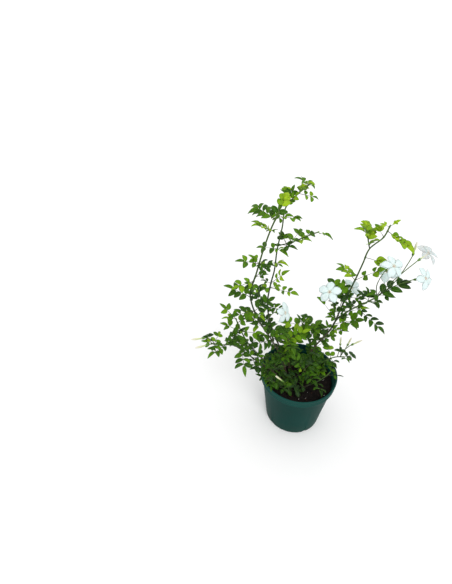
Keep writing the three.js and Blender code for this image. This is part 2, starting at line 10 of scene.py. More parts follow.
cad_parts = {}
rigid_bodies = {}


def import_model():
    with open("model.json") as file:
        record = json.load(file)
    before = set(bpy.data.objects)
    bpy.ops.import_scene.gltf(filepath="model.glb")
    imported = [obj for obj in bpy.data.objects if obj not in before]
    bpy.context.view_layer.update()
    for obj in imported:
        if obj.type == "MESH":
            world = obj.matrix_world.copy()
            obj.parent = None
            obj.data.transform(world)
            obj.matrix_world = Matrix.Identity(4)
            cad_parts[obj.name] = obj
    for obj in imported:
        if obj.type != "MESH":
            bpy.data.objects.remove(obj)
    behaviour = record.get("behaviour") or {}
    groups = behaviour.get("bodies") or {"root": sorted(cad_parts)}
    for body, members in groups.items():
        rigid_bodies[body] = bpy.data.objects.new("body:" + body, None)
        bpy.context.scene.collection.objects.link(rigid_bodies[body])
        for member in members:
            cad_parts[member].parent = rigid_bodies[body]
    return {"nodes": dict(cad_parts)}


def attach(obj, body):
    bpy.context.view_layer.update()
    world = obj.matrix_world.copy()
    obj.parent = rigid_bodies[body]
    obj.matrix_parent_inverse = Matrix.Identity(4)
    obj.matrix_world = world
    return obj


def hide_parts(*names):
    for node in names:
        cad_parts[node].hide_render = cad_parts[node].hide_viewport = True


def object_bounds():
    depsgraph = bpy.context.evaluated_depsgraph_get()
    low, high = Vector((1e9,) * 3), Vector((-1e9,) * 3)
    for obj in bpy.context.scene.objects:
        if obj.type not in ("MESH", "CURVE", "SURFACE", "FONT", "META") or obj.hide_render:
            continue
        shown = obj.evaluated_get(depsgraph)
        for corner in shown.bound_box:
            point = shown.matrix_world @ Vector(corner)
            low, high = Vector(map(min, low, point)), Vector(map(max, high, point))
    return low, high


# Spanish jasmine in its nursery pot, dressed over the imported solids.
# Sizes are in millimetres here and are turned into metres where a mesh is made.

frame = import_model()
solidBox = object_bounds()
mm = 0.001
print("frame loaded with", len(frame["nodes"]), "solids")

# and at 1 a grey green of painted shade and painted sheen
# The stems, and the branches of each, from the soil up. A branch has
#   path    points along its middle
#   radius  at its foot and at its tip
#   leaves  place along the branch, compass angle, rise, length, leaflets
#   pairs   the same, for two leaves opposite each other
#   flowers place along the branch, flower's centre, direction that it faces
#   buds    place along the branch, bud's foot, direction that it points
#   shade   of its leaves at its foot and at its tip, from 0, fresh yellow green, to old dark green,
#   sideLeaves  small leaves in the axil of each leaf, and the share of the branch that has them
#   footLeaves  leaves on its bare foot, down in the pot
# A branch that has no pairs, flowers, buds or footLeaves leaves that line out.
stems = {
    "right_stem": [
        {
            "path": [
                (8, 4, 84), (13, 7, 128), (20, 10, 168), (46, 14, 217), (59, 20, 271), (70, 24, 315),
                (77, 28, 345), (82, 30, 370), (99, 32, 389), (105, 34, 409),
            ],
            "radius": (1.7, 0.95), "shade": (0.95, 0.1), "sideLeaves": (2, 0.42), "footLeaves": 10,
            "leaves": [
                (0.82, -60, 20, 46, 5), (0.7, 120, 20, 44, 5), (0.7, -20, 45, 50, 5),
                (0.6, 125, 20, 48, 5), (0.57, 85, 35, 44, 5), (0.6, -40, 30, 34, 5),
                (0.47, 135, 35, 50, 3), (0.44, -25, 35, 52, 5), (0.94, 110, 25, 28, 3),
                (0.97, -60, -5, 54, 7), (0.99, 20, 30, 22, 3), (0.99, 150, 10, 15, 3),
                (0.4, -170, 20, 30, 3), (0.4, -35, 30, 34, 5), (0.33, 150, 10, 34, 5),
                (0.33, 20, 0, 34, 5), (0.25, 30, 15, 40, 5),
            ],
            "flowers": [
                (0.46, (19, -20, 327), (-0.35, -0.5, 0.8)), (0.5, (76, 46, 281), (0.05, -0.6, 0.8)),
            ],
        },
        {
            "path": [(82, 30, 370), (77, 34, 386), (73, 35, 398)],
            "radius": (0.9, 0.8), "shade": (0.2, 0.1), "sideLeaves": (0, 1),
            "leaves": [
                (0.85, -155, 35, 30, 3), (0.97, 80, 10, 32, 3), (0.45, 60, 25, 30, 3),
                (0.2, -70, 55, 28, 3),
            ],
        },
        {
            "path": [
                (46, 14, 217), (52, 8, 248), (67, 0, 275), (82, -6, 293), (95, -12, 311), (99, -13, 318),
            ],
            "radius": (1.3, 0.95), "shade": (0.6, 0.9), "sideLeaves": (2, 1),
            "leaves": [
                (0.99, 15, 25, 54, 7), (0.8, 155, 40, 26, 3), (0.8, 85, 25, 28, 3), (0.8, 5, -5, 28, 3),
                (0.6, -50, -10, 60, 5), (0.6, 120, 10, 36, 5), (0.45, -30, 40, 38, 5),
                (0.45, 140, 15, 36, 5), (0.3, -60, 15, 40, 5), (0.3, 110, 20, 30, 3),
            ],
            "flowers": [
                (0.93, (96, -30, 381), (0.25, -0.5, 0.8)), (0.9, (111, 14, 339), (-0.3, -0.35, 0.85)),
                (0.97, (149, -25, 356), (0.5, -0.62, 0.6)), (0.95, (144, -18, 394), (0.8, 0.4, 0.35)),
            ],
            "buds": [(0.96, (134, 1, 381), (0.1, 0.2, 1))],
        },
    ],
    "tall_left_stem": [
        {
            "path": [
                (-9, 4, 84), (-20, 8, 138), (-39, 18, 172), (-57, 30, 218), (-63, 40, 253),
                (-59, 50, 287), (-54, 58, 308), (-51, 68, 343), (-45, 78, 378), (-41, 86, 410),
                (-24, 92, 429), (-5, 96, 445),
            ],
            "radius": (1.7, 0.9), "shade": (0.75, 0.35), "sideLeaves": (1, 1), "footLeaves": 8,
            "leaves": [
                (0.53, -30, 10, 52, 5), (0.55, -30, 55, 46, 5), (0.53, -160, 10, 40, 5),
                (0.64, -45, 25, 28, 3), (0.64, 170, -10, 34, 5), (0.7, -60, 15, 28, 3),
                (0.7, 165, 0, 36, 5), (0.83, -55, 25, 40, 5), (0.83, 150, 10, 30, 3),
                (0.99, 30, -20, 16, 3), (0.95, 50, 20, 36, 5), (0.94, 10, -15, 40, 5),
                (0.9, 105, 30, 32, 5), (0.88, 55, 60, 34, 5),
            ],
            "pairs": [(0.44, -40, 25, 42, 5), (0.32, -60, 20, 44, 5)],
        },
        {
            "path": [(-50, 70, 350), (-33, 65, 358), (-13, 56, 374), (5, 47, 389)],
            "radius": (0.95, 0.8), "shade": (0.5, 0.3), "sideLeaves": (1, 0.4),
            "leaves": [
                (0.1, -45, 15, 30, 3), (0.2, 110, 30, 28, 3), (0.45, -40, 30, 28, 3),
                (0.3, 50, 20, 40, 5), (0.55, 40, 5, 38, 5), (0.98, 5, -20, 32, 5),
            ],
        },
    ],
    "second_left_stem": [
        {
            "path": [
                (-16, -4, 84), (-31, -2, 149), (-57, -10, 214), (-72, -18, 247), (-86, -24, 280),
                (-96, -30, 314), (-99, -32, 335), (-97, -34, 351), (-93, -36, 370), (-86, -38, 409),
                (-77, -38, 446), (-69, -38, 469),
            ],
            "radius": (1.6, 0.9), "shade": (0.8, 0.45), "sideLeaves": (1, 1), "footLeaves": 8,
            "leaves": [
                (0.97, 125, 5, 52, 5), (0.93, -135, 40, 42, 5), (0.99, 60, 40, 34, 5),
                (0.8, -170, 20, 34, 5), (0.8, -55, 30, 32, 5), (0.72, -150, 5, 36, 5),
                (0.74, 45, 10, 36, 5), (0.64, 160, 20, 44, 5), (0.64, -40, 55, 38, 5),
                (0.56, -150, 15, 44, 5), (0.56, 30, 20, 42, 5),
            ],
            "pairs": [(0.46, -40, 20, 46, 5), (0.34, 30, 15, 44, 5)],
            "flowers": [(0.42, (-42, -14, 280), (0.7, -0.5, 0.4))],
        },
    ],
    "mid_left_stem": [
        {
            "path": [
                (-26, -10, 84), (-44, -8, 140), (-72, -14, 174), (-94, -20, 211), (-110, -24, 250),
                (-119, -26, 280),
            ],
            "radius": (1.4, 0.85), "shade": (0.8, 0.5), "sideLeaves": (1, 1), "footLeaves": 7,
            "leaves": [(0.99, 160, 45, 36, 5), (0.95, 10, 30, 34, 5)],
            "pairs": [(0.85, -20, 15, 38, 5), (0.68, 35, 15, 36, 5), (0.48, -55, 15, 38, 5)],
        },
    ],
    "low_left_stem": [
        {
            "path": [
                (-30, -22, 84), (-46, -20, 138), (-79, -25, 176), (-103, -32, 209), (-124, -38, 233),
                (-142, -42, 237), (-158, -45, 244),
            ],
            "radius": (1.4, 0.85), "shade": (0.85, 0.55), "sideLeaves": (1, 1), "footLeaves": 7,
            "leaves": [
                (0.99, 110, -10, 36, 5), (0.97, 70, 10, 30, 5), (0.88, -130, 15, 44, 5),
                (0.86, 40, 45, 40, 5), (0.72, -85, -10, 46, 5), (0.72, 80, 20, 36, 5),
                (0.57, -85, 20, 40, 5), (0.57, 100, 15, 38, 5), (0.42, -70, 5, 38, 5),
                (0.42, 60, 15, 38, 5),
            ],
            "buds": [
                (0.97, (-170, -46, 256), (-0.95, -0.1, -0.05)),
                (0.97, (-164, -53, 248), (-0.9, -0.2, -0.1)),
            ],
        },
    ],
    "low_right_stem": [
        {
            "path": [(22, -4, 84), (34, 4, 135), (63, 8, 151), (81, 8, 152)],
            "radius": (1.3, 0.8), "shade": (0.8, 0.58), "sideLeaves": (5, 0.6), "footLeaves": 4,
            "leaves": [
                (0.99, 25, -10, 32, 5), (0.98, -80, 30, 24, 3), (0.93, 80, 10, 26, 3),
                (0.76, -80, 10, 26, 3), (0.76, 95, 20, 32, 5), (0.57, -60, 40, 30, 3),
                (0.57, 120, 25, 40, 5), (0.42, -65, 30, 30, 5), (0.42, 150, 30, 38, 5),
            ],
            "buds": [
                (0.92, (78, 3, 190), (0.15, -0.05, 1)), (0.92, (88, 6, 187), (0.75, 0, 0.55)),
                (0.87, (68, 11, 182), (-0.1, 0, 1)),
            ],
        },
    ],
    "back_stem": [
        {
            "path": [(-16, 18, 84), (-13, 22, 145), (-2, 34, 181), (3, 38, 210)],
            "radius": (1.3, 0.85), "shade": (0.8, 0.5), "sideLeaves": (1, 1), "footLeaves": 3,
            "leaves": [
                (0.99, 60, -10, 36, 5), (0.96, -25, 15, 44, 5), (0.94, 175, 15, 40, 5),
                (0.8, 15, 5, 46, 5), (0.8, 170, 5, 40, 5), (0.62, 60, 10, 40, 5),
            ],
        },
    ],
    "centre_left_stem": [
        {
            "path": [(-6, 16, 84), (-14, 12, 130), (-24, 6, 170), (-30, 2, 205)],
            "radius": (1.4, 0.9), "shade": (0.75, 0.5), "sideLeaves": (1, 1), "footLeaves": 3,
            "leaves": [
                (0.99, 150, 30, 48, 5), (0.97, 10, 30, 46, 5), (0.96, -80, 25, 46, 5),
                (0.78, 60, 15, 46, 5), (0.76, -120, 10, 48, 5), (0.56, -30, 10, 46, 5),
                (0.56, 150, 10, 42, 5),
            ],
        },
    ],
    "centre_stem": [
        {
            "path": [(0, -6, 84), (2, -10, 115), (6, -14, 145)],
            "radius": (1.3, 0.85), "shade": (0.85, 0.6), "sideLeaves": (1, 1), "footLeaves": 2,
            "leaves": [
                (0.99, 40, 35, 46, 5), (0.97, 170, 25, 44, 5), (0.94, -70, 15, 46, 5),
                (0.75, 0, 15, 42, 5), (0.72, -150, 10, 44, 5),
            ],
        },
    ],
    "front_stem": [
        {
            "path": [(6, -24, 84), (10, -27, 112), (24, -26, 120), (42, -19, 127), (54, -12, 134)],
            "radius": (1.2, 0.8), "shade": (0.95, 0.7), "sideLeaves": (0, 1), "footLeaves": 2,
            "leaves": [
                (0.99, 65, 10, 28, 5), (0.9, 0, -5, 34, 3), (0.72, 80, 25, 34, 5), (0.6, -85, 25, 40, 5),
                (0.36, -165, 20, 38, 5),
            ],
        },
    ],
    "front_left_stem": [
        {
            "path": [(-22, -32, 84), (-28, -36, 112), (-46, -36, 132), (-62, -34, 144)],
            "radius": (1.2, 0.8), "shade": (0.8, 0.55), "sideLeaves": (1, 1), "footLeaves": 3,
            "leaves": [
                (0.99, -160, 45, 30, 5), (0.96, -85, 15, 30, 5), (0.92, 70, 25, 36, 5),
                (0.7, -55, 20, 30, 5), (0.7, 100, 20, 34, 5), (0.42, 0, 10, 38, 5),
            ],
            "buds": [(0.6, (-38, -44, 150), (-0.6, 0.1, 0.55))],
        },
    ],
}

leafForm = {
    "stalkShare": 0.17,         # bare stalk as a share of the leaf
    "smallLeafStalk": 2.2,      # more of it on a leaf of three leaflets
    "endShare": 0.36,           # end leaflet as a share of the leaf
    "endRoot": 0.03,            # its foot overlaps the stalk by this share
    "tip": 0.99,                # and its tip stays just inside the solid's
    "lastPair": 0.86,           # the last pair stands under the end leaflet
    "addedPair": 41,            # from this length a leaf carries one pair more than its solid
    "mostPairs": 3,
    "lean": (56, 72),           # side leaflets against the midrib
    "sideLength": (0.28, 0.34),
    "sideScale": 1.06,          # side leaflets get shorter by the step, from the tip down
    "sideStep": 0.05,
    "smallLeafSides": 1.3,      # longer and wider on a leaf of three leaflets
    "smallLeafEnd": 0.52,
    "halfWidthOfLength": 0.33,  # half the width of a side leaflet, and its most between its neighbours
    "halfWidthOfSpacing": 0.46,
    "halfWidthSpread": (0.9, 1.1),
    "endHalfWidth": 0.075,      # of the whole leaf
    "foldSlope": 0.22,
    "foldSag": 0.012,
    "droop": (0.08, 0.2),
    "roll": (-18, 18),
    "twist": 0.5,               # radians between the flattest and the most turned leaflet
    "ribHalfWidth": 0.28,
    "solidHalf": 0.4,           # half the thickness of the solid's blade
    "tipMissesBy": 0.05,        # a solid's tip is known within this distance
    "stalkRadius": (0.55, 0.26),
    "stalkThinning": (0.7, 45),  # a short leaf has a stalk this thin, a leaf of this length a full one
    "stalkTint": (0.34, 0.7),
    "stalkSteps": 9,
    "stalkLap": 0.02,           # it runs this far on under the end leaflet
    "toneSpread": 0.36,         # of the leaflets of one leaf
    "tones": (0.02, 0.98),
    "light": (0.05, -0.35, 0.93),
}

# how a leaf's shade differs from its branch's
shadeForm = {"spread": 0.5, "smallBelow": 30, "smallSpan": 18, "smallLighter": 0.12}

# young leaves are still folded forward, and their leaflets lap
youngLeaf = {
    "upTo": 0.16,               # shade
    "lean": (32, 46), "sideLength": (0.29, 0.36), "foldSlope": 0.4,
    "halfWidthOfLength": 0.33, "halfWidthOfSpacing": 0.75, "endHalfWidth": 0.09,
}

# broad oval leaflets, on the leaves over the pot's rim and back
broadLeaf = {
    "pairs": 2, "lean": (50, 66), "sideLength": (0.32, 0.38), "halfWidthOfLength": 0.42,
    "halfWidthOfSpacing": 0.72, "endHalfWidth": 0.12,
}
broadLeaves = range(193, 204)

# leaves that differ from the rest, by their number down the rows above, from firstLeaf
firstLeaf = 101
oddLeaves = {
    **{number: broadLeaf for number in broadLeaves},
    101: {"shade": 0.25, "pairs": 1, "stalkShare": 0.45, "lean": (30, 42), "foldSlope": 0.1,
          "endShare": 0.45, "endHalfWidth": 0.13},
    102: {"shade": 0.18, "lean": (55, 70), "sideLength": (0.3, 0.36), "halfWidthOfSpacing": 0.55},
    103: {"shade": 0.3, "pairs": 2, "stalkShare": 0.32, "lean": (58, 74), "sideLength": (0.18, 0.22),
          "halfWidthOfLength": 0.5, "endShare": 0.24, "endHalfWidth": 0.09},
    104: {"shade": 0.45, "halfWidthOfLength": 0.4, "halfWidthOfSpacing": 0.55, "endHalfWidth": 0.11},
    107: {"shade": 0.32, "pairs": 1, "stalkShare": 0.1, "sideLength": (0.14, 0.18), "smallLeafEnd": 0.36,
          "endHalfWidth": 0.08},
    108: {"shade": 0.4, "pairs": 2, "stalkShare": 0.3, "halfWidthOfLength": 0.4, "endShare": 0.28},
    109: {"shade": 0.14, "pairs": 1, "smallLeafEnd": 0.6, "endHalfWidth": 0.1},
    110: {"shade": 0.14, "pairs": 4, "lean": (24, 34), "sideLength": (0.2, 0.25), "foldSlope": 0.5,
          "halfWidthOfLength": 0.36, "halfWidthOfSpacing": 0.9},
    111: {"shade": 0.12, "pairs": 1, "sideLength": (0.2, 0.25), "smallLeafSides": 1, "smallLeafEnd": 0.75,
          "endHalfWidth": 0.1},
    118: {"shade": 0.12, "pairs": 1, "stalkShare": 0.05, "smallLeafEnd": 0.75, "endHalfWidth": 0.09},
    119: {"shade": 0.14, "pairs": 2, "stalkShare": 0.04, "smallLeafEnd": 0.6, "endHalfWidth": 0.13},
    120: {"shade": 0.12, "pairs": 2, "stalkShare": 0.04, "smallLeafEnd": 0.6, "endHalfWidth": 0.14},
    121: {"shade": 0.2, "pairs": 1, "stalkShare": 0.04, "smallLeafSides": 1, "smallLeafEnd": 0.8,
          "endHalfWidth": 0.16},
    122: {"stalkShare": 0.06, "lean": (42, 56), "sideLength": (0.32, 0.38), "halfWidthOfLength": 0.27,
          "halfWidthOfSpacing": 0.6, "endHalfWidth": 0.085},
    126: {"shade": 0.8, "pairs": 4, "lean": (42, 56), "sideLength": (0.19, 0.24),
          "halfWidthOfLength": 0.26, "endShare": 0.24, "endHalfWidth": 0.05},
    128: {"shade": 0.35},
    132: {"shade": 0.35, "pairs": 2, "stalkShare": 0.45, "sideLength": (0.17, 0.21), "endShare": 0.26},
    133: {"shade": 0.18, "pairs": 2, "stalkShare": 0.35, "sideLength": (0.2, 0.25)},
    135: {"shade": 0.2, "pairs": 1, "stalkShare": 0.1, "smallLeafEnd": 0.7, "endHalfWidth": 0.09},
    137: {"shade": 0.3, "pairs": 1, "stalkShare": 0.05, "smallLeafSides": 1, "smallLeafEnd": 0.75,
          "endHalfWidth": 0.14},
    139: {"shade": 0.3, "stalkShare": 0.05, "lean": (26, 36), "sideLength": (0.34, 0.4),
          "halfWidthOfLength": 0.3, "halfWidthOfSpacing": 0.85, "endHalfWidth": 0.09},
    143: {"shade": 0.35, "pairs": 2, "stalkShare": 0.3, "lean": (70, 84), "sideLength": (0.2, 0.24),
          "halfWidthOfLength": 0.4, "endHalfWidth": 0.045},
    144: {"shade": 0.08, "pairs": 2, "halfWidthOfLength": 0.4, "endHalfWidth": 0.12},
    145: {"shade": 0.6},
    153: {"shade": 0.4},
    155: {"shade": 0.25, "pairs": 2, "stalkShare": 0.06, "sideLength": (0.12, 0.16), "endShare": 0.66,
          "endHalfWidth": 0.09},
    156: {"shade": 0.5, "pairs": 4, "lean": (50, 62), "sideLength": (0.26, 0.32), "endShare": 0.3},
    157: {"shade": 0.15, "endHalfWidth": 0.05},
    158: {"shade": 0.1, "pairs": 2, "stalkShare": 0.35, "halfWidthOfLength": 0.4, "endHalfWidth": 0.14},
    160: {"shade": 0.7, "pairs": 2, "halfWidthOfLength": 0.42},
    162: {"shade": 0.75, "pairs": 2, "stalkShare": 0.4, "lean": (60, 75), "sideLength": (0.19, 0.23),
          "halfWidthOfLength": 0.45, "endShare": 0.26, "endHalfWidth": 0.1},
    164: {"shade": 0.8, "pairs": 2, "sideLength": (0.3, 0.36), "halfWidthOfLength": 0.42,
          "halfWidthOfSpacing": 0.8, "endHalfWidth": 0.12},
    189: {"shade": 0.95, "pairs": 2, "lean": (55, 70), "sideLength": (0.3, 0.36),
          "halfWidthOfLength": 0.4},
    # 212 to 226, low in the pot and at its front, are given darker tones: painted shade
    205: {"shade": 0.28}, 206: {"shade": 0.5}, 212: {"shade": 0.68}, 213: {"shade": 0.72},
    214: {"shade": 0.62}, 215: {"shade": 0.78},
    217: {"pairs": 1, "smallLeafSides": 0.7, "smallLeafEnd": 0.5, "endHalfWidth": 0.04},
    219: {"shade": 0.78}, 220: {"shade": 0.95}, 224: {"shade": 0.8}, 226: {"shade": 0.9},
}

# turns that a solid leaf may have made to stay clear of its neighbours, sideways and upwards
leafTurns = [
    (0, 0), (14, 0), (-14, 0), (0, 14), (0, -14), (26, 8), (-26, 8), (26, -12), (-26, -12),
    (40, 0), (-40, 0), (0, 28), (0, -28), (55, 15), (-55, 15), (70, 0), (-70, 0),
]


def chance(seed):
    # from 0 to 1, the same every time; what is added to a seed keeps its draws apart
    value = sin(seed * 12.9898) * 43758.5453
    return value - floor(value)


def between(ends, share):
    return ends[0] + (ends[1] - ends[0]) * share


def unit(vector):
    return vector / np.linalg.norm(vector)


def smoothPath(points):
    # centripetal curve through the points, asked by the share of its length
    points = np.array(points, float)
    guides = np.vstack([2 * points[0] - points[1], points, 2 * points[-1] - points[-2]])
    last = len(points) - 1

    def placeAt(t):
        piece = min(int(t * last), last - 1)
        weight = t * last - piece
        p0, p1, p2, p3 = guides[piece:piece + 4]
        d0, d1, d2 = (np.linalg.norm(b - a) ** 0.5 for a, b in ((p0, p1), (p1, p2), (p2, p3)))
        start = ((p1 - p0) / d0 - (p2 - p0) / (d0 + d1) + (p2 - p1) / d1) * d1
        end = ((p2 - p1) / d1 - (p3 - p1) / (d1 + d2) + (p3 - p2) / d2) * d1
        square = 3 * (p2 - p1) - 2 * start - end
        cube = 2 * (p1 - p2) + start + end
        return p1 + start * weight + square * weight ** 2 + cube * weight ** 3

    times = np.linspace(0, 1, 201)
    steps = np.diff([placeAt(t) for t in times], axis=0)
    lengths = np.concatenate([[0], np.cumsum(np.linalg.norm(steps, axis=1))])

    def atShare(share):
        return placeAt(np.interp(share * lengths[-1], lengths, times))

    return atShare, lengths[-1]


# Materials. Colours are given as a screen shows them
def linear(red, green, blue):
    # a screen's colour as the share of light that it stands for
    shares = [value / 255 for value in (red, green, blue)]
    return tuple(s / 12.92 if s <= 0.04 else ((s + 0.055) / 1.055) ** 2.4 for s in shares) + (1,)


def plug(tree, value, socket):
    # a socket takes another node's output, or a value
    if isinstance(value, bpy.types.NodeSocket):
        tree.links.new(value, socket)
    else:
        socket.default_value = value


class Finish:
    # one material, with short ways to add its nodes
    def __init__(self, name, skin):
        self.material = bpy.data.materials.new(name)
        self.material.use_nodes = True
        self.tree = self.material.node_tree
        self.shader = self.tree.nodes["Principled BSDF"]
        self.give({"Roughness": skin["roughness"], "Specular IOR Level": skin["specular"]})

    def give(self, values):
        for name, value in values.items():
            plug(self.tree, value, self.shader.inputs[name])

    def paint(self, colour):
        self.give({"Base Color": colour})

    def node(self, kind, **settings):
        made = self.tree.nodes.new("ShaderNode" + kind)
        for key, value in settings.items():
            if hasattr(made, key):
                setattr(made, key, value)
            else:
                plug(self.tree, value, made.inputs[key])
        return made

    def objectPlace(self):
        return self.node("TexCoord").outputs["Object"]

    def noiseAt(self, scale, detail=3.0):
        return self.node("TexNoise", Scale=scale, Detail=detail, Vector=self.objectPlace()).outputs["Fac"]

    def attribute(self, name):
        return self.node("Attribute", attribute_name=name).outputs["Fac"]

    def split(self, vector):
        return self.node("SeparateXYZ", Vector=vector).outputs

    def bladeMap(self):
        # along a blade or a tube, and across or around it, each from 0 to 1
        parts = self.split(self.node("UVMap", uv_map="blade").outputs["UV"])
        return parts["X"], parts["Y"]

    def ramp(self, factor, stops):
        made = self.node("ValToRGB", Fac=factor)
        elements = made.color_ramp.elements
        while len(elements) < len(stops):
            elements.new(0.5)
        for element, (position, colour) in zip(elements, stops):
            element.position = position
            element.color = linear(*colour)
        return made.outputs["Color"]

    def maths(self, operation, *values, clamp=False):
        made = self.node("Math", operation=operation, use_clamp=clamp)
        for socket, value in zip(made.inputs, values):
            plug(self.tree, value, socket)
        return made.outputs["Value"]

    def times(self, first, second):
        return self.maths("MULTIPLY", first, second)

    def less(self, first, second, clamp=False):
        return self.maths("SUBTRACT", first, second, clamp=clamp)

    def timesPlus(self, first, second, third):
        return self.maths("MULTIPLY_ADD", first, second, third)

    def mix(self, factor, first, second):
        made = self.node("Mix", data_type="RGBA")
        sockets = [socket for socket in made.inputs if socket.enabled]
        for socket, value in zip(sockets, (factor, first, second)):
            plug(self.tree, value, socket)
        return next(socket for socket in made.outputs if socket.enabled)

    def glow(self, weight, reach):
        # light that passes through thin blades
        self.give({"Subsurface Weight": weight, "Subsurface Radius": reach, "Subsurface Scale": 1.0})

    def bump(self, height, strength, distance):
        made = self.node("Bump", Strength=strength, Distance=distance, Height=height)
        self.give({"Normal": made.outputs["Normal"]})


leafSkin = {
    # by shade: young, fresh, grown, old; the grey green at 1 is painted shade and a painted cool sheen
    "agesAndShade": [(0.0, (158, 190, 32)), (0.32, (92, 138, 14)), (0.62, (48, 90, 14)), (0.86, (20, 52, 10)),
             (1.0, (42, 70, 40))],
    "rib": (140, 170, 60), "underside": (104, 138, 76), "undersideShare": 0.5,
    "roughness": 0.45, "roughnessUnder": 0.6, "specular": 0.12,
    "mottleScale": 160.0, "mottle": 0.25, "mottleBack": 0.12,
    "ribNarrowness": 26.0, "veinCount": 44.0, "veinSlant": -0.7, "veinSharpness": 6.0,
    "veinShare": 0.35, "lineShare": 0.5, "relief": (0.35, 0.0004),
    "glow": (0.25, (0.0006, 0.001, 0.0002)),
}


def leafFinish(name, underside):
    # colour runs with the leaf's age, with painted shade and painted sheen at the dark end; ribs and side
    # veins follow the blade's own map
    skin = leafSkin
    finish = Finish(name, skin)
    age = finish.less(finish.attribute("shade"), skin["mottleBack"])
    age = finish.timesPlus(finish.noiseAt(skin["mottleScale"]), skin["mottle"], age)
    colour = finish.ramp(age, skin["agesAndShade"])
    along, across = finish.bladeMap()
    away = finish.maths("ABSOLUTE", finish.less(across, 0.5))
    rib = finish.less(1.0, finish.times(away, skin["ribNarrowness"]), clamp=True)
    slanted = finish.timesPlus(away, skin["veinSlant"], along)
    wave = finish.maths("SINE", finish.times(slanted, skin["veinCount"]))
    vein = finish.maths("POWER", finish.maths("MAXIMUM", wave, 0.0), skin["veinSharpness"])
    lines = finish.maths("MAXIMUM", rib, finish.times(vein, skin["veinShare"]))
    colour = finish.mix(finish.times(lines, skin["lineShare"]), colour, linear(*skin["rib"]))
    if underside:
        colour = finish.mix(skin["undersideShare"], colour, linear(*skin["underside"]))
        finish.give({"Roughness": skin["roughnessUnder"]})
    finish.paint(colour)
    finish.bump(finish.times(lines, 1.0 if underside else -1.0), *skin["relief"])
    finish.glow(*skin["glow"])
    return finish.material


stemSkin = {
    # by tint: 0 woody foot, 0.3 purple brown leaf stalk, 0.6 green stem, 1 fresh tip
    "tints": [(0.0, (84, 74, 52)), (0.3, (78, 62, 54)), (0.6, (36, 62, 20)), (1.0, (90, 120, 38))],
    "mottleScale": 420.0, "mottle": 0.16, "mottleBack": 0.08,
    "grainScale": 900.0, "relief": (0.3, 0.0003), "roughness": 0.5, "specular": 0.4,
}


def stemFinish(name):
    skin = stemSkin
    finish = Finish(name, skin)
    tint = finish.less(finish.attribute("tint"), skin["mottleBack"])
    tint = finish.timesPlus(finish.noiseAt(skin["mottleScale"]), skin["mottle"], tint)
    finish.paint(finish.ramp(tint, skin["tints"]))
    finish.bump(finish.noiseAt(skin["grainScale"]), *skin["relief"])
    return finish.material


petalSkin = {
    "along": [(0.0, (224, 236, 196)), (0.14, (228, 252, 250)), (1.0, (230, 254, 255))],
    "vein": (190, 220, 234), "veinCount": 28.0, "veinSharpness": 3.0, "veinShare": 0.12,
    "relief": (0.25, 0.0004), "roughness": 0.5, "specular": 0.3,
    "glow": {"petalFront": 0.4, "petalBack": 1.0}, "glowReach": (0.003, 0.0036, 0.0038),
}


def petalFinish(name):
    skin = petalSkin
    finish = Finish(name, skin)
    along, across = finish.bladeMap()
    wave = finish.maths("ABSOLUTE", finish.maths("SINE", finish.times(across, skin["veinCount"])))
    veins = finish.times(finish.maths("POWER", wave, skin["veinSharpness"]), finish.less(1.0, along))
    colour = finish.ramp(along, skin["along"])
    colour = finish.mix(finish.times(veins, skin["veinShare"]), colour, linear(*skin["vein"]))
    finish.paint(colour)
    finish.bump(veins, *skin["relief"])
    finish.glow(skin["glow"][name], skin["glowReach"])
    return finish.material


tubeSkin = {
    "along": [(0.0, (170, 196, 112)), (0.4, (214, 224, 168)), (1.0, (238, 240, 226))],
    "blush": (206, 132, 140), "blushShare": 0.55, "twist": 0.55, "laps": 5, "lapSharpness": 8.0,
    "roughness": 0.5, "specular": 0.3,
}


def tubeFinish(name):
    # the flower's tube and the closed buds: green at the foot, blushed where petals lap
    skin = tubeSkin
    finish = Finish(name, skin)
    along, around = finish.bladeMap()
    turn = finish.times(finish.timesPlus(along, skin["twist"], around), skin["laps"] * pi)
    wave = finish.maths("ABSOLUTE", finish.maths("COSINE", turn))
    lap = finish.maths("POWER", wave, skin["lapSharpness"])
    blush = finish.times(lap, finish.times(along, skin["blushShare"]))
    colour = finish.mix(blush, finish.ramp(along, skin["along"]), linear(*skin["blush"]))
    finish.paint(colour)
    return finish.material


calyxSkin = {"colours": [(0.3, (74, 116, 44)), (0.7, (112, 150, 62))], "mottleScale": 500.0,
             "roughness": 0.5, "specular": 0.4}


def calyxFinish(name):
    skin = calyxSkin
    finish = Finish(name, skin)
    finish.paint(finish.ramp(finish.noiseAt(skin["mottleScale"]), skin["colours"]))
    return finish.material


potSkin = {
    "colours": [(0.3, (2, 56, 50)), (0.7, (5, 68, 61))],
    "clouds": (14.0, 4.0),      # scale and detail
    "dust": (120, 116, 100), "dustFade": 30.0, "dustShare": 0.12,
    "speckScale": 700.0, "speckAbove": 0.68, "speckShare": 0.05,
    # collar band: a painted highlight along the rim, with a little handling wear
    "collar": (110, 160, 150), "collarAbove": 0.1065, "collarHighlightShare": 0.07,
    "turningMarks": 2400.0, "turningRelief": 0.12, "grain": (260.0, 5.0), "relief": (0.1, 0.0006),
    "roughness": 0.3, "roughnessAdded": 0.2, "specular": 0.04,
}


